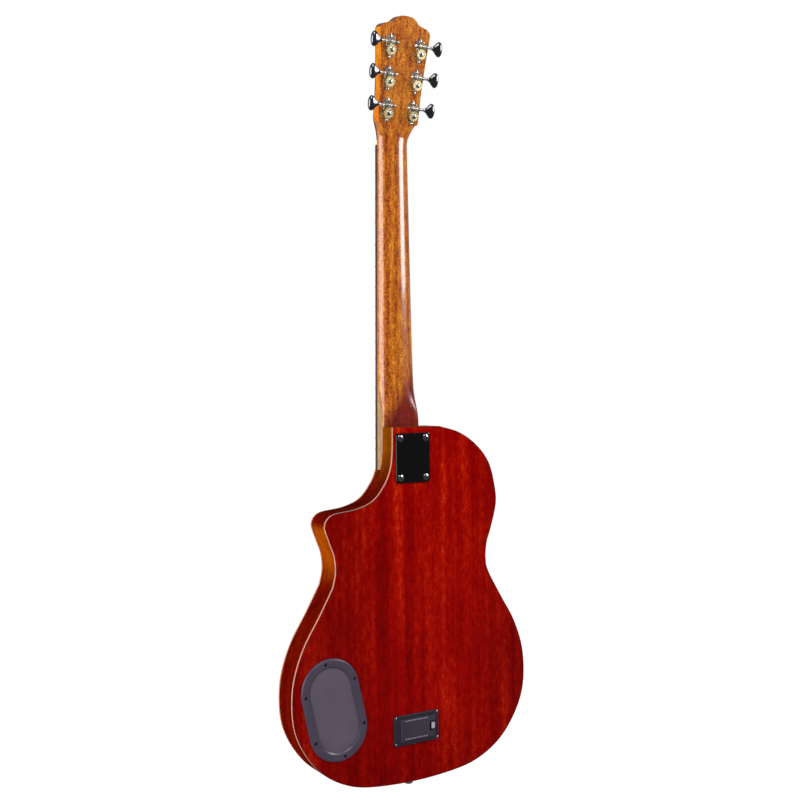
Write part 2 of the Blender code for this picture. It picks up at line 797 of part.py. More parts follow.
def make_tuner_plate(name, look, frame, side):
    # A pointed plate with two ears that carry the worm's shaft.
    base = slab(both_halves(TUNER_PLATE_HALF), GAP, TUNER_PLATE_THICK)
    offset = worm_offset()
    arc = [math.pi * k / 4 for k in range(5)]
    ear = [(offset + 2.7 * math.cos(a), WORM_HEIGHT + 2.7 * math.sin(a)) for a in arc]
    ear = [(offset + 2.7, 0.6), *ear, (offset - 2.7, 0.6)]
    ears = [
        loft([[(x, y, z) for y, z in ear] for x in span]) for span in ((-7.1, -5.0), (5.0, 7.1))
    ]
    bore = moved(along_x(rod(1.85, -12, 12, 8)), Matrix.Translation((0, offset, WORM_HEIGHT)))
    post_hole = rod(3.6, -2, 3, 10)
    bm = cut(joined(base, *ears), bore, post_hole)
    moved(bm, Matrix.Scale(side, 4, (1, 0, 0)))
    return node(name, bm, look, frame)


def make_tuners(look):
    # Strings 1 to 3 go to the treble side, and 6 to 4 to the bass side, both from the nut up.
    for side, numbers in ((-1, (1, 2, 3)), (1, (6, 5, 4))):
        for number, (x, y) in zip(numbers, POST_STEPS):
            frame = head_frame() @ Matrix.Translation((side * x, y, 0))
            make_tuner_plate(f"tuner_plate_{number}", look["chrome"], frame, side)
            make_worm(f"tuner_worm_{number}", look["chrome"], frame, side)
            make_gear(f"tuner_gear_{number}", look["brass"], frame, side)


# The bridge and the strings


def make_bridge(look):
    bottom = BODY_DEPTH + GAP
    stations = [(76, 12, 3), (64, 13, 3.6), (50, 16, 8.2), (30, 18, 8.7), (0, 21, 8.7)]
    stations = [(-x, belly, thick) for x, belly, thick in stations] + stations[-2::-1]
    rings = []
    for x, belly, thick in stations:
        low, high = SADDLE_Z - 6 - belly, SADDLE_Z + min(belly, 14)
        top = bottom + thick
        rings.append(
            [(x, bottom, low), (x, bottom, high), (x, top - 1.5, high), (x, top, high - 2), (x, top, low + 2)]
            + [(x, top - 1.5, low)]
        )
    slot = block((-37, 37), (BODY_DEPTH + 2, 60), (SADDLE_Z - 1.8, SADDLE_Z + 1.8))
    bridge = cut(loft(rings), slot)
    pins = []
    for number in range(1, 7):
        pin = turned([(0, 47), (3.2, 47), (4.0, 50.2), (2.8, 52), (0, 52.6)], 8)
        pins.append(along_y(pin, string_number_place(number, SADDLE_STRING_STEP), PIN_Z))
    node("bridge", joined(bridge, *pins), look["rosewood"])

    pickup_low = BODY_DEPTH + 2 + GAP
    node(
        "saddle_pickup",
        block((-36.5, 36.5), (pickup_low, pickup_low + 1.2), (SADDLE_Z - 1.2, SADDLE_Z + 1.2)),
        look["steel"],
    )
    foot = pickup_low + 1.2 + GAP
    outline = [(36.6, foot), (-36.6, foot)]
    for x in (-36.6, -24, -12, 0, 12, 24, 36.6):
        outline.append((x, SADDLE_FRONT - arch(x)))
    rings = []
    for dz, drop in ((-1.5, 0.9), (-0.5, 0), (0.5, 0), (1.5, 0.9)):
        rings.append([(x, y - (drop if y > foot else 0), SADDLE_Z + dz) for x, y in outline])
    node("saddle", loft(rings), look["bone"])


def post_string_point(number, radius):
    # Where the string reaches the inner side of its post, clear of it.
    step = number - 1 if number <= 3 else 6 - number
    side = -1 if number <= 3 else 1
    x, y = POST_STEPS[step]
    inner = side * (x - 2.4 - radius - GAP)
    height = -(HEAD_THICK + VENEER_THICK + POST_STAND - 5.7)
    return head_frame() @ Vector((inner, y, height))


def make_strings(look):
    for number, radius in enumerate(STRING_RADII, 1):
        x_saddle = string_number_place(number, SADDLE_STRING_STEP)
        x_nut = string_number_place(number, NUT_STRING_STEP)
        route = [
            Vector((x_saddle, BRIDGE_TOP + GAP + radius + 0.6, PIN_Z + 5.2)),
            Vector((x_saddle, SADDLE_FRONT + GAP + radius - arch(x_saddle), SADDLE_Z)),
            Vector((x_nut, NUT_STRING_Y - arch(x_nut), NUT_Z + 1)),
            Vector((x_nut, NUT_STRING_Y - arch(x_nut), NUT_Z + NUT_THICK)),
            post_string_point(number, radius),
        ]
        curve = bpy.data.curves.new(f"string_{number}", "CURVE")
        curve.dimensions = "3D"
        curve.bevel_depth = radius * MM
        curve.bevel_resolution = 1
        curve.use_fill_caps = True
        spline = curve.splines.new("POLY")
        spline.points.add(len(route) - 1)
        for point, place in zip(spline.points, route):
            point.co = (*(place * MM), 1)
        curve.materials.append(look["steel"] if number < 3 else look["bronze"])
        made = bpy.data.objects.new(f"string_{number}", curve)
        bpy.context.scene.collection.objects.link(made)


# The fittings on the back


def make_neck_plate(look):
    # A chamfered plate, with four raised countersunk screws that run into the neck's heel.
    low, high = FITTING_FRONT, -GAP
    width, height = PLATE_SIZE
    centre = (0, PLATE_CENTRE_Z)
    rings = []
    for y, shrink in ((high, 0), (low + 0.6, 0), (low, 0.6)):
        outline = rounded_box(width - 2 * shrink, height - 2 * shrink, 3.5 - shrink, 3, centre)
        rings.append([(x, y, z) for x, z in outline])
    seats = []
    for x, z in screw_places():
        seat = turned([(0, -4), (4.9, -4), (4.9, low), (2.9, low + 2.6), (0, low + 2.6)], 12)
        seats.append(along_y(seat, x, z))
    node("neck_plate", cut(loft(rings), *seats), look["black"])

    for number, (x, z) in enumerate(screw_places(), 1):
        profile = [
            (0, low - 1.3),
            (2.4, low - 1.0),
            (4.5, low - 0.1),
            (2.2, low + 2.0),
            (2.2, 34),
            (0, 38),
        ]
        screw = along_y(turned(profile, 12), 0, 0)
        node(f"neck_screw_{number}", screw, look["chrome"], Matrix.Translation((x, 0, z)))


def make_oval_cover(look):
    # A moulded cover: a raised border round a flat panel that lies lower.
    wide, high = COVER_SIZE
    panel_wide, panel_high = COVER_PANEL
    rings = []
    for y, w, h in (
        (-GAP, wide, high),
        (-1.5, wide, high),
        (-2.7, wide - 2.4, high - 2.4),
        (-2.7, panel_wide + 3, panel_high + 3),
        (-1.3, panel_wide, panel_high),
    ):
        rings.append([(x, y, z) for x, z in oval(w, h)])
    node("oval_cover", loft(rings), look["plastic"], cover_place())


def make_battery_box(look):
    low_x, high_x, half_z = BATTERY_MOUTH
    centre = (0, BATTERY_CENTRE_Z)
    front, back, floor = FITTING_FRONT, -GAP, BATTERY_FLOOR_Y
    width, height = BATTERY_FRAME_SIZE
    flange = loft(
        [
            [(x, y, z) for x, z in rounded_box(width - 2 * s, height - 2 * s, 3 - s, 2, centre)]
            for y, s in ((back, 0), (front + 0.8, 0), (front, 0.8))
        ]
    )
    z_low, z_high = BATTERY_CENTRE_Z - half_z, BATTERY_CENTRE_Z + half_z
    wall = BATTERY_WALL
    walls = block((low_x - wall, high_x + wall), (-1, floor), (z_low - wall, z_high + wall))
    mouth = block((low_x, high_x), (-6, floor - wall), (z_low, z_high))
    hinge = Vector((low_x + HINGE_INSET, HINGE_Y, BATTERY_CENTRE_Z))
    pin_holes = moved(rod(1.1, -half_z - 1.2, half_z + 1.2, 8), Matrix.Translation(hinge))
    node("battery_frame", cut(joined(flange, walls), mouth, pin_holes), look["plastic"])

    # The door's origin is on its hinge, and its own thickness runs along Y.
    length = high_x - hinge.x - GAP
    reach = half_z - GAP
    panel = block((0, length), (-1.5, 0.7), (-reach, reach))
    barrel = rod(2.5, -reach, reach, 12)
    stubs = rod(0.8, -half_z - 0.8, half_z + 0.8, 8)
    notch = block((length - 9, length + 2), (-5, 3), (-6, 6))
    door = cut(joined(panel, barrel, stubs), notch)
    node("battery_door", door, look["plastic"], Matrix.Translation(hinge))

    rest = hinge + Vector((length - 3.6, 0, 0))
    arc = [(3.3 * math.cos(math.pi * k / 6), -1.0 - 1.5 * math.sin(math.pi * k / 6)) for k in range(7)]
    thumb = loft([[(x, y, z) for x, y in [(3.3, 0.3), *arc, (-3.3, 0.3)]] for z in (-4.6, 4.6)])
    tongue = block((-3.0, 3.6), (-0.8, 0.7), (-5.7, 5.7))
    node("battery_latch", joined(tongue, thumb), look["plastic"], Matrix.Translation(rest))

    size_x, size_y, size_z = BATTERY_SIZE
    middle_x = (low_x + high_x) / 2 - 1.2
    outline = rounded_box(size_y, size_z, 2, 2)
    y_middle = floor - wall - GAP - size_y / 2
    ends = (middle_x - size_x / 2, middle_x + size_x / 2 - 2.6)
    case = loft([[(x, y_middle + y, BATTERY_CENTRE_Z + z) for y, z in outline] for x in ends])
    places = [Matrix.Translation((0, y_middle, BATTERY_CENTRE_Z + z)) for z in (-6.35, 6.35)]
    studs = [moved(along_x(rod(3, ends[1] - 1, ends[1] + 2.6, 10)), place) for place in places]
    node("battery", joined(case, *studs), look["battery"])


# The controls and the jack


def make_controls(look):
    # One board with three potentiometers hangs under the soundboard, and each knob turns its shaft.
    board_y = PREAMP_BOARD_Y
    place = cover_place()
    board = moved(block((-15, 15), (board_y, board_y + 1.6), (-52, 52)), place)
    top = BODY_DEPTH - PLATE_THICK - GAP
    pots, bores = [], []
    for centre in knob_places():
        pots.append(along_y(rod(8, board_y + 1, top, 10), centre.x, centre.z))
        bores.append(along_y(rod(SHAFT_HOLE_RADIUS, top - 8, top + 2, 10), centre.x, centre.z))
    node("preamp_board", cut(joined(board, *pots), *bores), look["circuit"])

    low = BODY_DEPTH + 0.6
    profile = [
        (0, top - 7),
        (3.1, top - 7),
        (3.1, low),
        (KNOB_RADIUS, low),
        (KNOB_RADIUS - 1.4, low + KNOB_HIGH - 1.2),
        (KNOB_RADIUS - 2.6, low + KNOB_HIGH),
        (0, low + KNOB_HIGH),
    ]
    for number, centre in enumerate(knob_places(), 1):
        knob = along_y(turned(profile, 14), 0, 0)
        node(f"knob_{number}", knob, look["black"], Matrix.Translation((centre.x, 0, centre.z)))


def make_jack(look):
    # A barrel behind a washer and a round nut, with the socket open at the body's end.
    skin = BODY_END[1]
    barrel_top = skin + RIM_THICK + 25
    profile = [
        (0, JACK_END_Z),
        (4.8, JACK_END_Z),
        (4.8, JACK_END_Z + 0.6),
        (5.4, JACK_END_Z + 0.6),
        (5.8, JACK_END_Z + 1.0),
        (5.8, skin - 1.5),
        (7.2, skin - 1.5),
        (7.2, skin - GAP - 0.3),
        (JACK_RADIUS, skin - GAP - 0.3),
        (JACK_RADIUS, barrel_top - 1.5),
        (7.4, barrel_top - 1.5),
        (7.4, barrel_top + 10),
        (0, barrel_top + 10),
    ]
    bore = rod(PLUG_BORE_RADIUS, JACK_END_Z - 5, barrel_top + 7, 12)
    jack = moved(cut(turned(profile, 12), bore), Matrix.Translation((0, JACK_Y, 0)))
    node("end_jack", jack, look["chrome"])


def make_guitar():
    look = {
        "side": material("side_mahogany", "9A4410", 0.2),
        "back": material("back_mahogany", "8E1408", 0.15),
        "top": material("top_spruce", "C98A3C", 0.2),
        "cream": material("cream_binding", "E6D3A8", 0.3),
        "mahogany": material("inner_mahogany", "8A5A38", 0.6),
        "spruce": material("brace_spruce", "D9B982", 0.6),
        "neck": material("neck_mahogany", "B9702C", 0.2),
        "rosewood": material("rosewood", "3A2218", 0.45),
        "bone": material("bone", "EDE6D2", 0.35),
        "black": material("gloss_black", "0B0B0D", 0.15),
        "plastic": material("grey_plastic", "4A4350", 0.5),
        "chrome": material("chrome", "C9CCD0", 0.12, 1.0),
        "brass": material("brass", "D9B45A", 0.2, 1.0),
        "steel": material("steel", "B4B7BB", 0.3, 1.0),
        "bronze": material("bronze_winding", "B57A3E", 0.35, 1.0),
        "circuit": material("circuit_board", "1F4A2C", 0.5),
        "battery": material("battery_case", "26262A", 0.4),
    }
    make_body(look)
    make_inner_plate(look)
    make_neck(look)
    make_fingerboard(look)
    make_nut(look)
    make_tuners(look)
    make_bridge(look)
    make_strings(look)
    make_neck_plate(look)
    make_oval_cover(look)
    make_battery_box(look)
    make_controls(look)
    make_jack(look)


def stand_on_base():
    bpy.context.view_layer.update()
    graph = bpy.context.evaluated_depsgraph_get()
    pieces = list(bpy.context.scene.objects)
    points = []
    for made in pieces:
        shape = made.evaluated_get(graph).to_mesh()
        points += [made.matrix_world @ vert.co for vert in shape.vertices]
    low = Vector([min(point[axis] for point in points) for axis in range(3)])
    high = Vector([max(point[axis] for point in points) for axis in range(3)])
    base = Vector(((low.x + high.x) / 2, (low.y + high.y) / 2, low.z))
    for made in pieces:
        made.location -= base


clear_scene()
make_guitar()
stand_on_base()
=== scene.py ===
import math

import bmesh
import bpy
from mathutils import Matrix, Vector
from mathutils.geometry import interpolate_bezier


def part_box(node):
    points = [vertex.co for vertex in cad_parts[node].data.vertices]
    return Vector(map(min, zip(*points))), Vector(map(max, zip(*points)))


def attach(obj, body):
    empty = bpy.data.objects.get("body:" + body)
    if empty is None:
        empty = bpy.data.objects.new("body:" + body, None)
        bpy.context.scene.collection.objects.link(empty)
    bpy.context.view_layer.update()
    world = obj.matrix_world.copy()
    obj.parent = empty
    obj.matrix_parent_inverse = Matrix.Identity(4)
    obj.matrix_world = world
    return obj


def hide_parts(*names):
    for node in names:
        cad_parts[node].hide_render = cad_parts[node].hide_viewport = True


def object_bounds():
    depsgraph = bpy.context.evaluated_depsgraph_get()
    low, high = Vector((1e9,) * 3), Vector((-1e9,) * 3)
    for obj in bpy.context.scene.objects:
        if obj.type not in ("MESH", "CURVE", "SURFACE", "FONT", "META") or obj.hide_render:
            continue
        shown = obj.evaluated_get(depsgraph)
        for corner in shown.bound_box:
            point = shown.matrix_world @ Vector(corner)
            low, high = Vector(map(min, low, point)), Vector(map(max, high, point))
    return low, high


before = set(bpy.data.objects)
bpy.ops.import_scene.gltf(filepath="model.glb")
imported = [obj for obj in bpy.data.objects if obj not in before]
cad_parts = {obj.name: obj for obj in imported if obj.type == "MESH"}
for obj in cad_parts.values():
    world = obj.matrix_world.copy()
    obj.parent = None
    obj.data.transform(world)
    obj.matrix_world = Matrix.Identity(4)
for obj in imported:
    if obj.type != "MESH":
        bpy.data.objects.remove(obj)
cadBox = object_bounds()
scene = bpy.context.scene
mm = 0.001

# Shapes are made in millimetres from the middle of the back at the widest line of the body. The frame's
# origin is under the guitar's middle at the open end of its jack, so each shape is moved by base.
jackTip = -134.5
plateBox, backBox, jackBox = (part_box(name) for name in ("neck_plate", "back_plate", "end_jack"))
base = Vector(((plateBox[0].x + plateBox[1].x) / 2, backBox[0].y, jackBox[0].z - jackTip * mm))


# Small helpers


def linearColour(hexColour):
    channels = [int(hexColour[i:i + 2], 16) / 255 for i in (0, 2, 4)]
    return (*[c / 12.92 if c <= 0.04045 else ((c + 0.055) / 1.055) ** 2.4 for c in channels], 1.0)


def setInputs(tree, node, inputs):
    for key, value in inputs.items():
        if isinstance(value, bpy.types.NodeSocket):
            tree.links.new(value, node.inputs[key])
        else:
            node.inputs[key].default_value = value
    return node


def addNode(tree, kind, inputs=None, **settings):
    made = tree.nodes.new("ShaderNode" + kind)
    for key, value in settings.items():
        setattr(made, key, value)
    return setInputs(tree, made, inputs or {})


def newMaterial(name):
    made = bpy.data.materials.new(name)
    made.use_nodes = True
    return made, made.node_tree, made.node_tree.nodes["Principled BSDF"]


def colourSteps(tree, factor, stops):
    ramp = addNode(tree, "ValToRGB", {"Fac": factor})
    ramp.color_ramp.elements[0].position, ramp.color_ramp.elements[1].position = stops[0][0], stops[-1][0]
    for place, _ in stops[1:-1]:
        ramp.color_ramp.elements.new(place)
    for element, (_, colour) in zip(ramp.color_ramp.elements, stops):
        element.color = linearColour(colour)
    return ramp.outputs["Color"]


def ramped(tree, value, start, end, high=1.0):
    # 0 at the start and the high value at the end, with soft ends.
    return addNode(
        tree, "MapRange",
        {"Value": value, "From Min": start, "From Max": end, "To Min": 0.0, "To Max": high},
        interpolation_type="SMOOTHSTEP",
    ).outputs[0]


def mathOf(tree, operation, first, second=0.0):
    return addNode(tree, "Math", {0: first, 1: second}, operation=operation).outputs[0]


def blended(tree, share, first, second):
    return addNode(tree, "Mix", {0: share, 6: first, 7: second}, data_type="RGBA").outputs[2]


def newObject(name, data):
    made = bpy.data.objects.new(name, data)
    scene.collection.objects.link(made)
    return made


# Modelling helpers


def facedOut(bm):
    bmesh.ops.recalc_face_normals(bm, faces=bm.faces)
    return bm


def loopOf(bm, points):
    verts = [bm.verts.new(p) for p in points]
    return [bm.edges.new((verts[i - 1], verts[i])) for i in range(len(verts))]


def skinOf(rings):
    # Bridges one ring of points to the next, and caps both ends.
    bm = bmesh.new()
    loops = [loopOf(bm, ring) for ring in rings]
    for first, second in zip(loops, loops[1:]):
        bmesh.ops.bridge_loops(bm, edges=first + second)
    for loop in (loops[0], loops[-1]):
        bmesh.ops.contextual_create(bm, geom=loop)
    return facedOut(bm)


def pushedOut(bm, vector):
    # Turns all the faces into a solid that reaches along a vector.
    made = bmesh.ops.extrude_face_region(bm, geom=list(bm.faces))["geom"]
    bmesh.ops.translate(bm, vec=vector, verts=[g for g in made if isinstance(g, bmesh.types.BMVert)])
    return facedOut(bm)


def slabOf(points, thickness):
    bm = bmesh.new()
    bm.faces.new([bm.verts.new(p) for p in points])
    return pushedOut(bm, thickness)


def rounded(bm, width, segments=2, angle=40, where=None):
    # Rounds every edge sharper than the angle, or those of them that a test lets through.
    edges = [e for e in bm.edges if e.is_manifold and math.degrees(e.calc_face_angle(0)) > angle]
    if where is not None:
        edges = [e for e in edges if where((e.verts[0].co + e.verts[1].co) / 2)]
    bmesh.ops.bevel(
        bm, geom=edges, offset=width, offset_type="OFFSET", segments=segments, profile=0.5, affect="EDGES",
        material=-1, clamp_overlap=True,
    )
    return bm


def turnedOf(profile, sides=32):
    # A profile of (radius, height) spun about Z.
    bm = bmesh.new()
    verts = [bm.verts.new((radius, 0, height)) for radius, height in profile]
    edges = [bm.edges.new(pair) for pair in zip(verts, verts[1:])]
    bmesh.ops.spin(
        bm, geom=verts + edges, cent=(0, 0, 0), axis=(0, 0, 1), angle=2 * math.pi, steps=sides, use_merge=True
    )
    bmesh.ops.remove_doubles(bm, verts=bm.verts, dist=0.001)
    return facedOut(bm)


def rodOf(radius, low, high, sides=24):
    return turnedOf([(0, low), (radius, low), (radius, high), (0, high)], sides)


def at(x, y, z):
    return Matrix.Translation((x, y, z))


def placed(bm, matrix):
    bmesh.ops.transform(bm, matrix=matrix, verts=bm.verts)
    if matrix.determinant() < 0:
        bmesh.ops.reverse_faces(bm, faces=bm.faces)
    return bm


def boxOf(low, high):
    bm = bmesh.new()
    middle = [(a + b) / 2 for a, b in zip(low, high)]
    size = [b - a for a, b in zip(low, high)]
    bmesh.ops.create_cube(bm, size=1, matrix=Matrix.Translation(middle) @ Matrix.Diagonal((*size, 1)))
    return bm


def mirrored(half, z):
    # The outline of a form that is the same on both sides, from the points of its right half.
    return [(p.x, p.y, z) for p in half] + [(-p.x, p.y, z) for p in reversed(half) if p.x > 0.01]


def meshOf(name, bm):
    mesh = bpy.data.meshes.new(name)
    bm.to_mesh(mesh)
    bm.free()
    return mesh


def merged(*parts):
    # Several loose shapes in one mesh.
    mesh = bpy.data.meshes.new("part")
    whole = bmesh.new()
    for part in parts:
        part.to_mesh(mesh)
        whole.from_mesh(mesh)
        part.free()
    bpy.data.meshes.remove(mesh)
    return whole


def carved(bm, cutters, operation="DIFFERENCE"):
    # Booleans that are applied at once, so no cutter is left in the scene.
    helpers = [newObject("cutter", meshOf("cutter", shape)) for shape in (bm, *cutters)]
    for cutter in helpers[1:]:
        step = helpers[0].modifiers.new("carve", "BOOLEAN")
        step.object, step.operation, step.solver = cutter, operation, "EXACT"
    result = bmesh.new()
    result.from_mesh(helpers[0].evaluated_get(bpy.context.evaluated_depsgraph_get()).to_mesh())
    for helper in helpers:
        mesh = helper.data
        bpy.data.objects.remove(helper)
        bpy.data.meshes.remove(mesh)
    return result


def makePiece(name, bm, materials, body="guitar", replaces=(), angle=35, subdivision=0):
    bmesh.ops.scale(bm, vec=(mm, mm, mm), verts=bm.verts)
    bmesh.ops.translate(bm, vec=base, verts=bm.verts)
    mesh = meshOf(name, bm)
    for material in materials if isinstance(materials, list) else [materials]:
        mesh.materials.append(material)
    mesh.shade_smooth()
    mesh.set_sharp_from_angle(angle=math.radians(angle))
    piece = newObject(name, mesh)
    if subdivision:
        smoother = piece.modifiers.new("smoother", "SUBSURF")
        smoother.levels = smoother.render_levels = subdivision
    else:
        # Keeps flat faces flat beside their rounded edges.
        piece.modifiers.new("flatFaces", "WEIGHTED_NORMAL").keep_sharp = True
    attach(piece, body)
    if replaces:
        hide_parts(*replaces)


def smoothRun(points, steps):
    # A smooth line through the points, with its ends left straight.
    points = [Vector(p).to_3d() for p in points]
    points = [points[0] * 2 - points[1], *points, points[-1] * 2 - points[-2]]
    run = []
    for i in range(1, len(points) - 2):
        before, a, b, after = points[i - 1:i + 3]
        run += interpolate_bezier(a, a + (b - before) / 6, b - (after - a) / 6, b, steps + 1)[:-1]
    return run + [points[-2]]


# Camera and studio

cameraSpot = {
    "place": (-737.0, -1200.2, 375.2),
    "azimuth": 30.936,
    "pitch": -0.44,
    "roll": -0.71,
    "focalPixels": 1097.3,
    "picturePixels": 800,
    "filmWide": 36,
}


def makeCamera(spot):
    lens = bpy.data.cameras.new("photoCamera")
    lens.sensor_width = spot["filmWide"]
    lens.lens = spot["focalPixels"] * spot["filmWide"] / spot["picturePixels"]
    lens.clip_end = 50
    camera = newObject("photoCamera", lens)
    turn, pitch, roll = (math.radians(spot[key]) for key in ("azimuth", "pitch", "roll"))
    ahead = Vector((math.sin(turn) * math.cos(pitch), math.cos(turn) * math.cos(pitch), math.sin(pitch)))
    right = Vector((math.cos(turn), -math.sin(turn), 0))
    up = right.cross(ahead)
    tiltedRight = right * math.cos(roll) + up * math.sin(roll)
    tiltedUp = up * math.cos(roll) - right * math.sin(roll)
    axes = Matrix((tiltedRight, tiltedUp, -ahead)).transposed().to_4x4()
    camera.matrix_world = Matrix.Translation(Vector(spot["place"]) * mm + base) @ axes
    scene.camera = camera


studio = {
    "floorBelow": 0.0006,
    "worldAhead": 0.45,   # the backdrop behind the guitar
    "worldBehind": 0.1,   # the dim room behind the camera
    "floorGlow": 1.4,
    "floorShare": 0.7,    # how much of what the camera sees of the floor is its own white
    "lamps": [
        ("leftPanel", (-1.95, -0.3, 0.75), (0, 0, 0.5), (1.9, 1.6), 42),
        ("rightPanel", (1.6, -1.16, 1.3), (0, 0, 0.5), (0.8, 0.95), 26),
        ("topPanel", (-0.3, -1.9, 2.45), (0, 0, 0.35), (1.2, 1.2), 22),
    ],
}


def makeStudio(values):
    scene.view_settings.view_transform = "Standard"
    world = bpy.data.worlds.new("studioWorld")
    world.use_nodes = True
    tree = world.node_tree
    background = tree.nodes["Background"]
    path = addNode(tree, "LightPath")
    direction = addNode(tree, "SeparateXYZ", {0: addNode(tree, "TexCoord").outputs["Generated"]})
    room = addNode(
        tree, "MapRange",
        {"Value": direction.outputs["Y"], "From Min": -0.15, "From Max": 0.45,
         "To Min": values["worldBehind"], "To Max": values["worldAhead"]},
        interpolation_type="SMOOTHSTEP",
    )
    seen = addNode(
        tree, "Mix", {0: path.outputs["Is Camera Ray"], 2: room.outputs["Result"], 3: 1.0}, data_type="FLOAT"
    )
    setInputs(tree, background, {"Strength": seen.outputs[0], "Color": (1, 1, 1, 1)})
    scene.world = world

    # A white floor that keeps a light shadow.
    floorMaterial, tree, surface = newMaterial("whitePaperFloor")
    setInputs(tree, surface, {"Base Color": (0.8, 0.8, 0.8, 1), "Roughness": 0.9, "Specular IOR Level": 0.0})
    path = addNode(tree, "LightPath")
    share = mathOf(tree, "MULTIPLY", path.outputs["Is Camera Ray"], values["floorShare"])
    white = addNode(tree, "Emission", {"Color": (1, 1, 1, 1), "Strength": values["floorGlow"]})
    mix = addNode(tree, "MixShader", {0: share, 1: surface.outputs[0], 2: white.outputs[0]})
    tree.links.new(mix.outputs[0], tree.nodes["Material Output"].inputs["Surface"])
    bm = bmesh.new()
    bmesh.ops.create_grid(bm, x_segments=1, y_segments=1, size=9)
    bmesh.ops.translate(bm, vec=(0, 0, cadBox[0][2] - values["floorBelow"]), verts=bm.verts)
    floor = newObject("floor", meshOf("floor", bm))
    floor.data.materials.append(floorMaterial)
    floor.visible_glossy = False  # the lacquer mirrors the dark room and not the floor

    for name, place, aim, size, power in values["lamps"]:
        light = bpy.data.lights.new(name, "AREA")
        light.shape, light.energy = "RECTANGLE", power
        light.size, light.size_y = size
        lamp = newObject(name, light)
        lamp.location = place
        lamp.rotation_euler = (Vector(aim) - Vector(place)).to_track_quat("-Z", "Y").to_euler()


makeCamera(cameraSpot)
makeStudio(studio)
print("camera and studio made")


# Finishes


def evenly(*colours):
    # Stops at equal distances.
    return [(i / (len(colours) - 1), colour) for i, colour in enumerate(colours)]


# Wood has three or four grains, each with the size of its streaks in mm across and along, and its weight.
# Broad ribbons come first and pores last. The back's pores are drawn 1.7 mm wide, so that they show.
backLook = {
    "stops": [(0.0, "680100"), (0.3, "800100"), (0.55, "920400"), (0.8, "A81402"), (1.0, "C03208")],
    "grains": [(16, 480, 0.4), (60, 120, 0.17), (4.5, 10, 0.23), (1.7, 3.4, 0.2)], "contrast": 0.135,
    "roughness": 0.2, "specular": 0.05, "coat": 0.01, "bump": 0.02,
}
neckLook = {
    "stops": [(0.0, "70260A"), (0.3, "A24E0A"), (0.6, "C26C14"), (1.0, "E2962C")],
    "grains": [(9, 160, 0.3), (3.4, 12, 0.3), (1.6, 2.6, 0.4)], "contrast": 0.12,
    "roughness": 0.24, "specular": 0.5, "coat": 0.35, "coatIor": 1.9, "bump": 0.1,
}
headEdgeLook = {
    **neckLook, "stops": evenly("B85604", "D87806", "F09A10"), "specular": 0.1, "coat": 0.0,
}
# Painted shade: a darker copy of the edge wood, for the faces of the head's rim that face up.
headTopPaintedShadeLook = {**headEdgeLook, "stops": evenly("4A1404", "6E2408", "92400E")}
spruceLook = {
    "stops": evenly("B9782F", "D39A4A", "E2B468"),
    "grains": [(2.0, 400, 0.55), (60, 220, 0.3), (0.9, 40, 0.15)], "contrast": 0.18,
    "roughness": 0.3, "specular": 0.5, "coat": 0.5, "bump": 0.05,
}
rosewoodLook = {
    "stops": evenly("22120C", "3A2117", "5A3A28"),
    "grains": [(3, 90, 0.5), (20, 90, 0.2), (0.8, 7, 0.3)], "contrast": 0.18,
    "roughness": 0.45, "specular": 0.5, "coat": 0.0, "bump": 0.25,
}
rawMahoganyLook = {
    "stops": evenly("6E4329", "8A5A38", "A06E49"),
    "grains": [(6, 90, 0.5), (30, 80, 0.2), (0.9, 6, 0.3)], "contrast": 0.18,
    "roughness": 0.7, "specular": 0.4, "coat": 0.0, "bump": 0.2,
}
rawSpruceLook = {
    **rawMahoganyLook, "stops": evenly("C9A870", "DBBE8A", "E8D0A2"),
    "grains": [(2.0, 300, 0.6), (60, 160, 0.2), (0.8, 30, 0.2)], "bump": 0.1,
}


def woodMaterial(name, look, shade=None):
    # shade takes the tree, the coordinates and the grain's share, and gives back the finished colour.
    made, tree, surface = newMaterial(name)
    coords = addNode(tree, "TexCoord").outputs["Object"]
    total = None
    for across, along, weight in look["grains"]:
        stretched = addNode(
            tree, "Mapping",
            {"Vector": coords, "Scale": (1 / (across * mm), 1 / (across * mm), 1 / (along * mm))},
        )
        grain = addNode(
            tree, "TexNoise",
            {"Vector": stretched.outputs[0], "Scale": 1.0, "Detail": 2.0, "Roughness": 0.55},
        ).outputs["Fac"]
        share = mathOf(tree, "MULTIPLY", grain, weight)
        total = share if total is None else mathOf(tree, "ADD", total, share)
    spread = addNode(
        tree, "MapRange",
        {"Value": total, "From Min": 0.5 - look["contrast"], "From Max": 0.5 + look["contrast"]},
    ).outputs[0]
    colour = colourSteps(tree, spread, look["stops"])
    if shade is not None:
        colour = shade(tree, coords, spread, colour)
    bump = addNode(tree, "Bump", {"Strength": look["bump"], "Distance": 0.0002, "Height": grain})
    setInputs(tree, surface, {
        "Base Color": colour, "Roughness": look["roughness"], "IOR": 1.5, "Specular IOR Level": look["specular"],
        "Coat Weight": look["coat"], "Coat IOR": look.get("coatIor", 1.5), "Coat Roughness": 0.08,
        "Normal": bump.outputs[0],
    })
    return made


def axesOf(tree, coords):
    split = addNode(tree, "SeparateXYZ", {0: coords})
    return [split.outputs[axis] for axis in "XYZ"]


def backPaintedShade(tree, coords, spread, colour):
    # Painted shade: the back's colour is darker towards its edges and its bottom, where less light falls.
    across, _, high = axesOf(tree, coords)
    dark = colourSteps(tree, spread, evenly("4A0000", "6E0100", "900C02"))
    aside = mathOf(tree, "ABSOLUTE", mathOf(tree, "SUBTRACT", across, 0.025))
    low = ramped(tree, high, base.z - 0.03, base.z - 0.125, 0.6)
    return blended(tree, mathOf(tree, "MAXIMUM", ramped(tree, aside, 0.04, 0.14, 0.8), low), colour, dark)


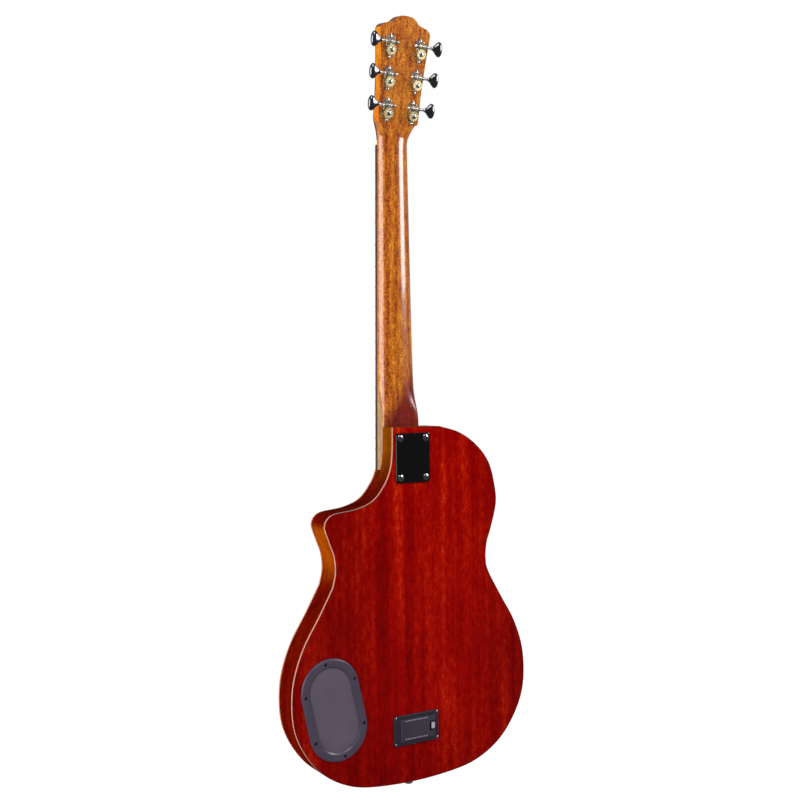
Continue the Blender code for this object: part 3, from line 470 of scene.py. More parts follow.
def sideStainAndPaintedLight(tree, coords, spread, colour):
    # The sides are stained dark red. The horn is amber near the back edge: painted light, for light from below. The
    # cutaway is darker red low down and tan higher up.
    across, deep, high = axesOf(tree, coords)
    amber = colourSteps(tree, spread, evenly("742C00", "923A00", "AE5204"))
    brown = colourSteps(tree, spread, evenly("440300", "5C0800", "761402"))
    red = colourSteps(tree, spread, evenly("3E0400", "560A02", "6E1604"))
    tan = colourSteps(tree, spread, evenly("5A2402", "763804", "904C08"))
    fromBelow, fromAbove = (ramped(tree, high, base.z + a, base.z + b) for a, b in ((0.13, 0.17), (0.215, 0.202)))
    paintedHornLight = mathOf(tree, "MULTIPLY", fromBelow, fromAbove)
    share = mathOf(tree, "MULTIPLY", paintedHornLight, ramped(tree, deep, 0.024, 0.0))
    above = ramped(tree, high, base.z + 0.202, base.z + 0.218)
    cutaway = mathOf(tree, "MULTIPLY", ramped(tree, across, -0.122, -0.1), above)
    inCutaway = blended(tree, ramped(tree, high, base.z + 0.25, base.z + 0.31), red, tan)
    return blended(tree, cutaway, blended(tree, share, brown, amber), inCutaway)


def neckStainAndPaintedHighlight(tree, coords, spread, colour):
    # The heel is stained dark red like the body, further up on its bass side. The flat treble side of
    # the tongue is painted pale: left unstained, and a painted highlight of the light from the left.
    across, _, high = axesOf(tree, coords)
    red = colourSteps(tree, spread, evenly("5A0A00", "7A1402", "963008"))
    pale = colourSteps(tree, spread, evenly("96683E", "AE7E4C", "C29A66"))
    slanted = mathOf(tree, "ADD", high, mathOf(tree, "MULTIPLY", across, -1.4))
    low = ramped(tree, slanted, base.z + 0.395, base.z + 0.35)
    below = ramped(tree, high, base.z + 0.392, base.z + 0.372)
    side = mathOf(tree, "MULTIPLY", ramped(tree, across, -0.0258, -0.0266), below)
    return blended(tree, side, blended(tree, low, colour, red), pale)


def plainMaterial(name, colour, roughness, metallic=0.0, coat=0.0, grainMm=0.6, bump=0.1, vary=0.12):
    # One finish with a fine grain in its colour, its roughness and its surface.
    made, tree, surface = newMaterial(name)
    coords = addNode(tree, "TexCoord").outputs["Object"]
    fine = addNode(
        tree, "TexNoise", {"Vector": coords, "Scale": 1 / (grainMm * mm), "Detail": 3.0}
    ).outputs["Fac"]
    broad = addNode(tree, "TexNoise", {"Vector": coords, "Scale": 40.0, "Detail": 2.0}).outputs["Fac"]
    darker, lighter = ([min(c * share, 1) for c in linearColour(colour)[:3]] + [1] for share in (1 - vary, 1 + vary))
    rough = addNode(
        tree, "MapRange",
        {"Value": broad, "From Min": 0.3, "From Max": 0.7,
         "To Min": roughness * 0.85, "To Max": min(roughness * 1.2, 1)},
    )
    bumped = addNode(tree, "Bump", {"Strength": bump, "Distance": 0.0001, "Height": fine})
    setInputs(tree, surface, {
        "Base Color": blended(tree, broad, darker, lighter), "Roughness": rough.outputs[0], "Metallic": metallic,
        "Coat Weight": coat, "Coat Roughness": 0.05, "Normal": bumped.outputs[0],
    })
    if not metallic:
        surface.inputs["IOR"].default_value = 1.5
    return made


def metalMaterial(name, colour, roughness, bump, vary=0.12):
    return plainMaterial(name, colour, roughness, metallic=1.0, bump=bump, vary=vary)


backMahogany = woodMaterial("lacqueredBackMahogany", backLook, backPaintedShade)
sideMahogany = woodMaterial("lacqueredSideMahogany", {**backLook, "specular": 0.0, "coat": 0.0}, sideStainAndPaintedLight)
neckMahogany = woodMaterial("lacqueredNeckMahogany", neckLook, neckStainAndPaintedHighlight)
headEdgeMahogany = woodMaterial("lacqueredHeadEdge", headEdgeLook)
headTopPaintedShade = woodMaterial("paintedShadeHeadTop", headTopPaintedShadeLook)
topSpruce = woodMaterial("lacqueredSpruceTop", spruceLook)
rosewood = woodMaterial("oiledRosewood", rosewoodLook)
rawMahogany = woodMaterial("sawnMahogany", rawMahoganyLook)
rawSpruce = woodMaterial("planedSpruce", rawSpruceLook)
creamAbs = plainMaterial("scrapedCreamAbs", "E3CB96", 0.25, coat=0.6, bump=0.03, vary=0.06)
agedAbs = plainMaterial("amberedCreamAbs", "CC8C76", 0.25, coat=0.5, bump=0.03, vary=0.1)
blackAbs = plainMaterial("blackAbsLine", "120F10", 0.3, coat=0.5, bump=0.03)
blackLacquer = plainMaterial("blackLacqueredSteel", "040406", 0.12, coat=0.1, bump=0.02)
greyAbs = plainMaterial("mouldedGreyAbs", "5A5060", 0.5, grainMm=0.7, bump=0.25)  # spark-eroded mould texture
ringAbs = plainMaterial("mouldedGreyAbsBorder", "473E50", 0.34, grainMm=0.7, bump=0.12)  # smoother, so its crest shines
darkAbs = plainMaterial("mouldedDarkAbs", "28222F", 0.4, grainMm=0.7, bump=0.2)
paintedHighlightAbs = plainMaterial("paintedHighlightGreyAbs", "A8A2B2", 0.3, bump=0.1)  # painted highlight: pale where the latch's dome and the door's ribs catch the light
doorAbs = plainMaterial("mouldedDoorAbs", "383140", 0.45, grainMm=0.7, bump=0.25)
chrome = metalMaterial("polishedChrome", "D8DADD", 0.08, 0.01, 0.03)
wornChrome = metalMaterial("wornChrome", "DEDCD6", 0.2, 0.03, 0.04)
satinChrome = metalMaterial("satinChromeShaft", "F0EEE8", 0.32, 0.03, 0.04)
screwChrome = metalMaterial("dullScrewChrome", "A2A2A8", 0.16, 0.02, 0.05)
# Painted shade: chrome darkened to grey for the tuner buttons, for the dark room that they mirror.
chromeWithPaintedShade = metalMaterial("paintedShadeChrome", "74747A", 0.16, 0.01, 0.05)
brass = metalMaterial("paleBrushedBrass", "FBE9B4", 0.36, 0.05, 0.06)
nickelSilver = metalMaterial("drawnNickelSilver", "C9C7BE", 0.16, 0.02, 0.05)
plainSteel = metalMaterial("drawnSteelWire", "B4B7BB", 0.2, 0.02, 0.05)
rodSteel = metalMaterial("blackenedRodSteel", "7A7C80", 0.4, 0.1)
bone = plainMaterial("bleachedBone", "EDE4CC", 0.35, bump=0.05, vary=0.05)
pearl = plainMaterial("pearloidDot", "E9ECE6", 0.2, coat=0.8, bump=0.02, vary=0.15)
blackPlastic = plainMaterial("blackPhenolicKnob", "101012", 0.3, coat=0.3, bump=0.05)
blackScrew = metalMaterial("blackOxideScrew", "3A383C", 0.35, 0.04)
batteryCase = plainMaterial("printedBatteryCan", "26262A", 0.35, coat=0.4, bump=0.03)
circuitBoard = plainMaterial("greenSolderMask", "1F4A2C", 0.35, coat=0.4, bump=0.05)


def woundWire():
    # Bronze wound on a steel core. The turns are drawn 0.5 mm apart, so that they show.
    made, tree, surface = newMaterial("bronzeWoundString")
    coords = addNode(tree, "TexCoord").outputs["Object"]
    turns = addNode(
        tree, "TexWave",
        {"Vector": coords, "Scale": 1 / (0.5 * mm) / 6.2832 * 2, "Distortion": 0.0},
        bands_direction="Z",
    )
    # Painted shade and highlight: each turn is dark brown in its groove and light bronze on its crest.
    colour = colourSteps(tree, turns.outputs["Fac"], evenly("7A4A22", "D29A5C"))
    bumped = addNode(tree, "Bump", {"Strength": 0.4, "Distance": 0.0001, "Height": turns.outputs["Fac"]})
    setInputs(tree, surface, {
        "Base Color": colour, "Metallic": 1.0, "Roughness": 0.28, "Normal": bumped.outputs[0],
    })
    return made


woundString = woundWire()
print("finishes made")


# The body

body = {
    "depth": 40, "plate": 3, "rim": 4.5, "creamLine": 0.7, "binding": 1.2, "edgeRound": 0.55,
    "soundholeZ": 212, "soundhole": 42,
    "lowerBout": [
        (112.8, 152), (116.8, 134), (136, 100.5), (157, 66), (170, 32), (174.2, 0), (171, -34), (157, -65),
        (133.5, -93), (102, -112), (65, -121.5),
    ],
    "end": (0, -125.5),
    "bassShoulder": [
        (41.7, 329.7), (72, 321), (99, 304), (119.4, 279.6), (129, 247), (130.3, 222), (121.5, 191), (115, 173),
    ],
    "horn": [(-114.2, 172), (-120, 188), (-125.4, 202), (-127.2, 210.5), (-123.5, 219), (-113, 225)],
    "cutaway": [(-82, 229.2), (-58, 238.6), (-41, 258), (-32.6, 277), (-29.7, 297), (-28.8, 329.7)],
}
neck = {
    "scale": 635, "nutZ": 698, "nutThick": 5, "frets": 20, "front": 42.7, "heelBack": 25.7,
    "boardFront": 49, "boardRadius": 406, "boardEndZ": 258, "halfNut": 22, "halfEnd": 28,
    "headTilt": 11, "headThick": 13, "veneer": 1.5, "pocketMouthZ": 274,
    "stringStep": 7.3, "stringY": 50.6,
}
topY = body["depth"] - body["plate"]


def halfWidth(z):
    share = (neck["nutZ"] - z) / (neck["nutZ"] - neck["boardEndZ"])
    return neck["halfNut"] + (neck["halfEnd"] - neck["halfNut"]) * max(share, 0)


def crown(x):
    return x * x / (2 * neck["boardRadius"])


def bodyLine(y):
    # The outline from the heel's bass side round to the sharp corner above the cutaway.
    lower = body["lowerBout"]
    bass = smoothRun([*body["bassShoulder"], *lower, body["end"], *[(-x, z) for x, z in lower[::-1]]][:-1], 7)
    treble = smoothRun([(-x, z) for x, z in lower[1::-1]] + body["horn"] + body["cutaway"], 7)
    return [Vector((p.x, y, p.y)) for p in bass[:-1] + treble]


def pocket():
    # The neck's pocket, open at the top, at the front and at the cutaway.
    endZ = neck["boardEndZ"] - 0.4
    mouth = neck["pocketMouthZ"]
    corners = [
        (halfWidth(endZ) + 0.4, endZ), (halfWidth(340) + 0.4, 340), (-60, 340), (-60, mouth),
        (-halfWidth(mouth) - 0.4, mouth), (-halfWidth(endZ) - 0.4, endZ),
    ]
    return slabOf([(x, neck["heelBack"] - 0.3, z) for x, z in corners], (0, 20, 0))


def plateRings(y):
    # Insets the outline twice, for the cream ring, the black line and the field, and gives the last two.
    bm = bmesh.new()
    field = bm.faces.new([bm.verts.new(p) for p in bodyLine(y)])
    rings = [
        bmesh.ops.inset_region(bm, faces=[field], thickness=wide, use_even_offset=True, use_boundary=True)["faces"]
        for wide in (body["creamLine"], body["binding"] - body["creamLine"])
    ]
    return bm, rings[1], field


def bindingOf(y, thick, edgeY):
    bm, black, field = plateRings(y)
    for face in black:
        face.material_index = 1
    bmesh.ops.delete(bm, geom=[field], context="FACES_ONLY")
    pushedOut(bm, (0, thick, 0))
    edges = [
        e for e in bm.edges
        if all(abs(v.co.y - edgeY) < 0.01 for v in e.verts) and e.calc_face_angle(0) > 1
        and any(abs(f.normal.y) > 0.9 and f.material_index == 0 for f in e.link_faces)
    ]
    bmesh.ops.bevel(
        bm, geom=edges, offset=body["edgeRound"], offset_type="OFFSET", segments=3, profile=0.5,
        affect="EDGES", material=-1,
    )
    bmesh.ops.dissolve_degenerate(bm, dist=0.001, edges=bm.edges)
    return bm


def fieldOf(y, thick):
    bm, _, field = plateRings(y)
    bmesh.ops.delete(bm, geom=[f for f in bm.faces if f is not field], context="FACES")
    return pushedOut(bm, (0, thick, 0))


cover = {
    "centre": (-117.3, -16.1), "tilt": 12.4, "wide": 80, "high": 130, "panelWide": 57, "round": 2.6, "slope": 2.4,
    "sink": 2.0, "front": -2.68, "screwY": -2.58, "knobStep": 37,
    "screws": [(0, 59.6), (0, -59.6), (34.5, 29.2), (-34.5, 29.2), (34.5, -29.2), (-34.5, -29.2)],
}
battery = {
    "centreZ": -57.6, "wide": 67, "high": 38.6, "lowX": -24.3, "highX": 29.3, "half": 14.3, "wall": 1.5,
    "floorY": 22, "front": -2.3, "hingeX": -21.4, "hingeY": -0.9,
    "screws": [(-31, 16.5), (31, 16.5), (-31, -16.5), (31, -16.5)],
}


def coverPlace():
    x, z = cover["centre"]
    return at(x, 0, z) @ Matrix.Rotation(-math.radians(cover["tilt"]), 4, "Y")


def knobSpots():
    return [coverPlace() @ Vector((0, 0, cover["knobStep"] * k)) for k in (1, 0, -1)]


def stadium(wide, high, y, steps=24):
    # Two half circles joined by straight sides, standing up.
    radius, straight = wide / 2, high / 2 - wide / 2
    points = []
    for sign, turn in ((1, 0), (-1, math.pi)):
        for k in range(steps + 1):
            angle = turn + math.pi * k / steps
            points.append(Vector((radius * math.cos(angle), y, sign * straight + radius * math.sin(angle))))
    return points


quarterY = Matrix.Rotation(math.pi / 2, 4, "Y")


def alongY(bm, x, z):
    return placed(bm, at(x, 0, z) @ Matrix.Rotation(math.radians(-90), 4, "X"))


def makeBody():
    wall = bmesh.new()
    edges = loopOf(wall, bodyLine(body["plate"] + 0.02))
    raised = bmesh.ops.extrude_edge_only(wall, edges=edges)["geom"]
    bmesh.ops.translate(
        wall, vec=(0, body["depth"] - 2 * body["plate"] - 0.04, 0),
        verts=[g for g in raised if isinstance(g, bmesh.types.BMVert)],
    )
    facedOut(wall)
    middle = wall.faces[:][0]
    outward = middle.normal.dot(middle.calc_center_median() - Vector((0, 20, 0)))
    bmesh.ops.solidify(wall, geom=wall.faces[:], thickness=-body["rim"] if outward < 0 else body["rim"])
    facedOut(wall)
    jackHole = placed(rodOf(6.6, -150, -60), at(0, body["depth"] / 2, 0))
    makePiece("bent_sides", carved(wall, [pocket(), jackHole]), sideMahogany, replaces=["rim"])

    makePiece(
        "back_binding_lines", bindingOf(0, body["plate"], 0), [agedAbs, blackAbs],
        replaces=["back_binding"],
    )
    makePiece(
        "top_binding_lines", carved(bindingOf(topY, body["plate"], body["depth"]), [pocket()]), [agedAbs, blackAbs],
        replaces=["top_binding"],
    )

    margin = battery["wall"] + 0.3
    batteryHole = boxOf(
        (battery["lowX"] - margin, -5, battery["centreZ"] - battery["half"] - margin),
        (battery["highX"] + margin, 8, battery["centreZ"] + battery["half"] + margin),
    )
    controlHole = placed(slabOf(stadium(62, 112, -5), (0, 13, 0)), coverPlace())
    back = carved(fieldOf(0, body["plate"]), [batteryHole, controlHole])
    for face in back.faces:
        face.material_index = 1 if face.normal.y > 0.9 else 0
    makePiece("lacquered_back", back, [backMahogany, rawMahogany], replaces=["back_plate"])

    hole = alongY(rodOf(body["soundhole"], 30, 45, 96), 0, body["soundholeZ"])
    shafts = [alongY(rodOf(3.8, 30, 45), p.x, p.z) for p in knobSpots()]
    top = carved(fieldOf(topY, body["plate"]), [hole, pocket(), *shafts])
    makePiece("spruce_soundboard", top, topSpruce, replaces=["top_plate"])

    # Thin rings let into the soundboard round the soundhole.
    for name, inner, outer, finish in (
        ("rosette_cream", 44.6, 45.4, creamAbs), ("rosette_black", 45.4, 46.2, blackAbs),
        ("rosette_rosewood", 46.2, 52.4, rosewood), ("rosette_black_outer", 52.4, 53.2, blackAbs),
        ("rosette_cream_outer", 53.2, 54.0, creamAbs),
    ):
        ring = turnedOf([(inner, 39.5), (outer, 39.5), (outer, 40.03), (inner, 40.03), (inner, 39.5)], 96)
        ring = carved(alongY(ring, 0, body["soundholeZ"]), [pocket()])
        makePiece(name, ring, finish)


makeBody()
print("body made")


# The neck, the head and the fingerboard

headHalf = [
    (0, 158.2), (9, 157.2), (14.8, 153.4), (19.3, 149.3), (25.6, 147.3), (31.7, 145.2), (36, 141.5), (36.8, 135),
    (34.6, 114), (32.3, 88), (30.6, 60), (30.0, 36), (29.6, 27), (27.4, 20), (24.8, 13), (23.2, 7), (22.3, 3), (22, 0),
]
headFlareTop = 24
stringRadii = [0.15, 0.2, 0.3, 0.41, 0.53, 0.67]
posts = [(19.0, 34.6), (20.6, 73.9), (22.2, 113.2)]  # to the side and above the nut, from the nut up
postSpots = [at(side * x, y, 0) for side in (-1, 1) for x, y in posts]
postTip = -(neck["headThick"] + neck["veneer"] + 15.0)


def stringX(number, step):
    return (number - 3.5) * step


def headPlace():
    tilt = math.radians(neck["headTilt"])
    across = Vector((1, 0, 0))
    up = Vector((0, -math.sin(tilt), math.cos(tilt)))
    out = across.cross(up)
    start = Vector((0, neck["front"], neck["nutZ"] + neck["nutThick"])) + out * neck["headThick"]
    return Matrix.Translation(start) @ Matrix((across, up, out)).transposed().to_4x4()


def headWidth(up):
    # Half the width of the head at this height above the nut, below its widest point.
    run = [p for p in smoothRun(headHalf, 6) if p.y < 133]
    for above, below in zip(run, run[1:]):
        if below.y <= up <= above.y:
            return below.x + (above.x - below.x) * (up - below.y) / (above.y - below.y)


def headLine(z, lowest=0.5):
    half = [p for p in smoothRun(headHalf, 6) if p.y > lowest]
    return mirrored([*half, Vector((headWidth(lowest), lowest))], z)


def shaftRing(z, back, power):
    return sectionRing(z, halfWidth(z), neck["front"], back, power)


def flareRing(up, power):
    # Where the round neck turns into the flat head, on the head's own outline and back.
    tilt = math.radians(neck["headTilt"])
    past = up * math.cos(tilt)
    front = neck["front"] - math.tan(tilt) * past
    back = front - neck["headThick"] / math.cos(tilt) + 0.05
    return sectionRing(neck["nutZ"] + neck["nutThick"] + past, headWidth(up) - 0.05, front - 0.4, back, power)


def sectionRing(z, wide, front, back, power, steps=28):
    ring = []
    for i in range(steps + 1):
        angle = math.pi * i / steps
        cosine, sine = math.cos(angle), max(math.sin(angle), 0)
        x = wide * math.copysign(abs(cosine) ** (2 / power), cosine)
        ring.append((x, front - (front - back) * sine ** (2 / power), z))
    return ring


def makeNeck():
    # Each station is a height, the place of the neck's back there, and the power of its round: 2 is an ellipse.
    stations = [
        (258, 25.7, 16), (336, 25.7, 16), (342, 25.72, 12), (348, 25.8, 9), (352.5, 25.9, 6.6), (357, 26.0, 5),
        (361.5, 26.1, 4), (366, 26.3, 3.3), (373, 26.5, 2.75), (380, 26.6, 2.4), (400, 26.7, 2.15), (440, 26.9, 2.0),
        (500, 27.2, 1.92), (560, 27.6, 1.9), (620, 28.0, 1.9), (668, 28.4, 1.9), (680, 28.55, 1.9), (690, 28.7, 1.92),
        (697, 28.8, 1.95), (702, 28.9, 2.0),
    ]
    flare = [
        (4, 2.1), (6.5, 2.25), (9, 2.5), (11.5, 2.8), (14, 3.3), (16.5, 4.0), (19, 5), (21, 6.7), (23, 9), (25.5, 15),
        (28, 24),
    ]
    shaft = skinOf([shaftRing(*station) for station in stations] + [flareRing(*station) for station in flare])
    place, thick = headPlace(), neck["headThick"]
    slab = slabOf(headLine(-thick, headFlareTop), (0, 0, thick))
    head = rounded(slab, 1.3, 3, where=lambda c: c.z > -1 and c.y > headFlareTop + 1)
    # The rim's side faces take the edge wood, and its faces that look up along the head take the darker copy, as
    # painted shade.
    for face in head.faces:
        if abs(face.normal.z) < 0.5:
            face.material_index = 2 if face.normal.y > 0.35 else 1
    rodSlot = boxOf((-3.2, 33.2, 261), (3.2, 50, 722))
    holes = [placed(rodOf(4.2, -16, 3), place @ spot) for spot in postSpots]
    solid = carved(carved(placed(head, place), [shaft], "UNION"), [rodSlot, *holes])
    makePiece(
        "carved_neck", solid, [neckMahogany, headEdgeMahogany, headTopPaintedShade], replaces=["neck"],
        angle=30,
    )

    veneer = slabOf(headLine(-thick - 0.3 - neck["veneer"]), (0, 0, neck["veneer"]))
    holes = [placed(rodOf(4.2, -20, -10), spot) for spot in postSpots]
    veneer = carved(veneer, [boxOf((-4, -2, -20), (4, 17, -10)), *holes])
    makePiece("rosewood_head_veneer", placed(veneer, place), rosewood, replaces=["head_veneer"])

    bell, sheet = smoothRun([(0, 30), (4.5, 26.5), (6, 19), (10.5, 9), (13, 2)], 6), 1.6
    low = -thick - neck["veneer"] - 0.6 - sheet
    bellPlate = rounded(slabOf(mirrored(bell, low), (0, 0, sheet)), 0.4, 2, where=lambda c: c.z < low + 0.2)
    placed(bellPlate, place)
    makePiece("bell_rod_cover", bellPlate, blackLacquer, replaces=["truss_rod_cover"])
    turned = Matrix.Rotation(math.pi, 4, "X")
    screws = [place @ at(x, y, low) @ turned for x, y in ((0, 24.5), (-8.2, 5), (8.2, 5))]
    makeScrews("rod_cover_screw", screws, 1.5, 0.6, chrome)


def recess(reach, wide, low, high, arms=2):
    # The cutters of a cross recess, or with one arm of a plain slot.
    return [boxOf((-x, -y, low), (x, y, high)) for x, y in ((reach, wide / 2), (wide / 2, reach))[:arms]]


def screwHead(radius, high, arms=2):
    # A domed head with a recess, its seat at height 0.
    dome = [
        (0, -0.2), (radius, -0.2), (radius, high * 0.35), (radius * 0.8, high * 0.8), (radius * 0.4, high), (0, high),
    ]
    return carved(turnedOf(dome, 24), recess(radius * 0.62, radius * 0.2, high * 0.45, high + 1, arms))


def makeScrews(name, places, radius, high, finish):
    for number, place in enumerate(places, 1):
        makePiece(f"{name}_{number}", placed(screwHead(radius, high), place), finish)


def spanOf(half, steps):
    # Equal steps from one side to the other.
    return [half * (2 * k / steps - 1) for k in range(steps + 1)]


def fretZ(fret):
    return neck["nutZ"] - neck["scale"] * (1 - 2 ** (-fret / 12))


def makeFingerboard():
    bottom, steps = neck["front"] + 0.3, 12
    rings = []
    for z in (neck["nutZ"] - 0.3, 600, 500, 400, 300, neck["boardEndZ"]):
        half = halfWidth(z)
        face = [(x, neck["boardFront"] - crown(x), z) for x in spanOf(half, steps)]
        rings.append([(half, bottom, z), (-half, bottom, z), *face])
    board = rounded(skinOf(rings), 0.35, 2, angle=60, where=lambda c: c.y > bottom + 1)
    makePiece("rosewood_fingerboard", board, rosewood, replaces=["fingerboard"])

    # A wire is half round, with its two feet sunk into the board.
    wires, angles = [], [math.pi * j / 8 for j in range(9)]
    for z in [fretZ(fret) for fret in range(1, neck["frets"] + 1)]:
        rings = []
        for x in spanOf(halfWidth(z) - 0.25, steps):
            level = neck["boardFront"] - crown(x)
            arch = [(x, level + math.sin(a), z + 1.15 * math.cos(a)) for a in angles[1:-1]]
            rings.append([(x, level - 0.3, z + 1.15), *arch, (x, level - 0.3, z - 1.15)])
        wires.append(skinOf(rings))
    makePiece("fret_wires", merged(*wires), nickelSilver)

    dots = []
    for fret in (3, 5, 7, 9, 12, 15, 17, 19):
        z = (fretZ(fret) + fretZ(fret - 1)) / 2
        for x in ((-9, 9) if fret == 12 else (0,)):
            level = neck["boardFront"] - crown(x)
            dots.append(alongY(rodOf(3, level - 0.6, level + 0.03), x, z))
    makePiece("position_dots", merged(*dots), pearl)

    sideDots = []
    for fret in (3, 5, 7, 9, 12, 15, 17):
        z = (fretZ(fret) + fretZ(fret - 1)) / 2
        for shift in ((-2, 2) if fret == 12 else (0,)):
            place = at(halfWidth(z + shift), 46.2, z + shift) @ quarterY
            sideDots.append(placed(rodOf(0.9, -0.5, 0.02, 12), place))
    makePiece("side_dots", merged(*sideDots), pearl)


def makeNut():
    bottom, top = neck["front"] + 0.3, neck["boardFront"] + 2.4
    low, high, half = neck["nutZ"], neck["nutZ"] + neck["nutThick"] - 0.4, neck["halfNut"]
    outline = [(half, bottom, low), (-half, bottom, low)] + [(x, top - crown(x), low) for x in spanOf(half, 12)]
    blank = rounded(slabOf(outline, (0, 0, high - low)), 0.5, 3, where=lambda c: c.y > 44)
    slots = []
    for number, radius in enumerate(stringRadii, 1):
        x, wide = stringX(number, neck["stringStep"]), radius + 0.35
        slots.append(boxOf((x - wide, neck["stringY"] - 0.3 - crown(x) - radius, low - 3), (x + wide, 60, high + 5)))
    makePiece("bone_nut", carved(blank, slots), bone, replaces=["nut"])


makeNeck()
makeFingerboard()
makeNut()
print("neck made")


# Tuners, each in a frame with its origin on the post at the back of the head

tuner = {
    "teeth": 14, "module": 0.95, "addendum": 0.75, "dedendum": 1.05, "backlash": 0.5, "pressure": 20,
    "wormRadius": 3.1, "wormHalf": 3.8, "height": 5.5, "gearThick": 3.4, "plate": 1.2, "buttonStart": 15,
    "plateHalf": [
        (0, 20.9), (1.3, 19.6), (2.0, 17.6), (3.6, 16.8), (5.4, 16.9), (6.7, 15.4), (5.9, 13.4), (6.3, 11.9),
        (7.4, 10.9), (7.4, 8.4), (6.2, 7.2), (6.3, 5.4), (7.0, 3.0), (7.2, 0.2), (6.9, -2.6), (5.6, -4.4),
        (5.6, -6.0), (4.4, -7.2), (2.8, -7.4), (1.9, -8.8), (1.2, -10.6), (0, -11.8),
    ],
    "button": [
        (0, 2.3, 2.3), (1.2, 2.5, 2.5), (3.0, 3.2, 2.4), (5.0, 5.6, 2.6), (7.4, 8.3, 3.2), (10.0, 10.0, 3.9),
        (12.6, 9.8, 3.9), (14.6, 7.6, 3.1), (15.7, 3.8, 1.4),
    ],
}
pitch = math.pi * tuner["module"]
gearRadius = tuner["module"] * tuner["teeth"] / 2
gearTop = tuner["height"] + tuner["gearThick"] / 2
wormOffset = gearRadius + tuner["wormRadius"]
flankSlope = math.tan(math.radians(tuner["pressure"]))


def tunerPlate():
    outline = mirrored(smoothRun(tuner["plateHalf"], 3), 0.3)
    sheet = rounded(slabOf(outline, (0, 0, tuner["plate"] - 0.3)), 0.35, 2, where=lambda c: c.z > 1)
    # Two ears with round tops carry the worm.
    half, angles = 2.7, [math.pi * k / 16 for k in range(17)]
    arch = [(wormOffset + half * math.cos(a), tuner["height"] + half * math.sin(a)) for a in angles]
    side = [(wormOffset + half, 0.8), *arch, (wormOffset - half, 0.8)]
    ears = [
        rounded(slabOf([(low, y, z) for y, z in side], (high - low, 0, 0)), 0.3, 2)
        for low, high in ((-7.1, -5.0), (5.0, 7.1))
    ]
    bore = placed(rodOf(1.7, -12, 12), at(0, wormOffset, tuner["height"]) @ quarterY)
    whole = carved(carved(sheet, ears, "UNION"), [bore, rodOf(3.6, -2, 3)])
    screws = [placed(screwHead(1.5, 0.9, 1), at(0, y, tuner["plate"])) for y in (16.6, -8.9)]
    return merged(whole, *screws)


def tunerWorm():
    # A single thread, spun with a push along its own axis, and trimmed square.
    gapHalf = (pitch / 2 + tuner["backlash"]) / 2
    rootHalf, crestHalf = gapHalf - tuner["dedendum"] * flankSlope, gapHalf + tuner["addendum"] * flankSlope
    root, crest = tuner["wormRadius"] - tuner["dedendum"], tuner["wormRadius"] + tuner["addendum"]
    steps, turns = 20, 4
    bm = bmesh.new()
    profile = [(-crestHalf, crest), (-rootHalf, root), (rootHalf, root), (crestHalf, crest), (pitch - crestHalf, crest)]
    verts = [bm.verts.new((x - 2 * pitch, -r, 0)) for x, r in profile]
    edges = [bm.edges.new(pair) for pair in zip(verts, verts[1:])]
    bmesh.ops.spin(
        bm, geom=verts + edges, cent=(0, 0, 0), axis=(1, 0, 0), dvec=(pitch / steps, 0, 0),
        angle=2 * math.pi * turns, steps=steps * turns,
    )
    bmesh.ops.remove_doubles(bm, verts=bm.verts, dist=0.01)
    for side in (-1, 1):
        bmesh.ops.bisect_plane(
            bm, geom=bm.verts[:] + bm.edges[:] + bm.faces[:], dist=0.0001,
            plane_co=(side * tuner["wormHalf"], 0, 0), plane_no=(side, 0, 0), clear_outer=True,
        )
    bmesh.ops.holes_fill(bm, edges=[e for e in bm.edges if e.is_boundary], sides=0)
    facedOut(bm)
    shaft = turnedOf([
        (0, -10.7), (1.0, -10.55), (1.75, -10.05), (2.1, -9.2), (1.9, -8.3), (1.5, -7.7), (1.5, 7.4), (2.4, 7.6),
        (2.4, 8.6), (1.9, 9.0), (1.7, 13.2), (2.1, 14.6), (2.3, 15.2), (0, 15.2),
    ], 24)
    return merged(bm, placed(shaft, quarterY))


def tunerButton():
    rings = []
    for run, high, thick in tuner["button"]:
        rings.append([
            (tuner["buttonStart"] + run, high * math.cos(a), thick * math.sin(a))
            for a in [2 * math.pi * (i + 0.5) / 20 for i in range(20)]
        ])
    return skinOf(rings)


def tunerGear():
    half = (pitch / 2 - tuner["backlash"]) / 2
    root, tip = gearRadius - tuner["dedendum"], gearRadius + tuner["addendum"]
    flank = ((root, half + tuner["dedendum"] * flankSlope), (tip, half - tuner["addendum"] * flankSlope))
    lead = pitch / (2 * math.pi * tuner["wormRadius"])
    lean = tuner["gearThick"] / 2 * lead / gearRadius
    low, high = tuner["height"] - tuner["gearThick"] / 2, gearTop
    points = []
    for tooth in range(tuner["teeth"]):
        middle = math.pi / 2 + lean + 2 * math.pi * tooth / tuner["teeth"]
        for r, a in [(r, middle - w / r) for r, w in flank] + [(r, middle + w / r) for r, w in reversed(flank)]:
            points.append((r * math.cos(a), r * math.sin(a), low))
    wheel = slabOf(points, (0, 0, high - low))
    upper = [v for v in wheel.verts if v.co.z > high - 0.01]
    bmesh.ops.rotate(wheel, verts=upper, cent=(0, 0, 0), matrix=Matrix.Rotation(-2 * lean, 3, "Z"))
    dish = turnedOf([(3.3, high - 0.3), (4.2, high - 0.3), (4.4, high + 1), (3.3, high + 1), (3.3, high - 0.3)], 32)
    return carved(wheel, [dish])


def tunerPost():
    waist = [(2.4, 0), (3, 0.8), (3, 3), (2.6, 3.8), (2.4, 4.6), (2.4, 7), (2.6, 7.8), (3, 8.5)]
    post = turnedOf(
        [(0, postTip), *[(r, postTip + up) for r, up in waist], (3, 1.5), (4.3, 1.5), (4.3, 3.7), (0, 3.7)], 32
    )
    return carved(post, [placed(rodOf(0.9, -6, 6, 16), at(0, 0, postTip + 5.7) @ quarterY)])


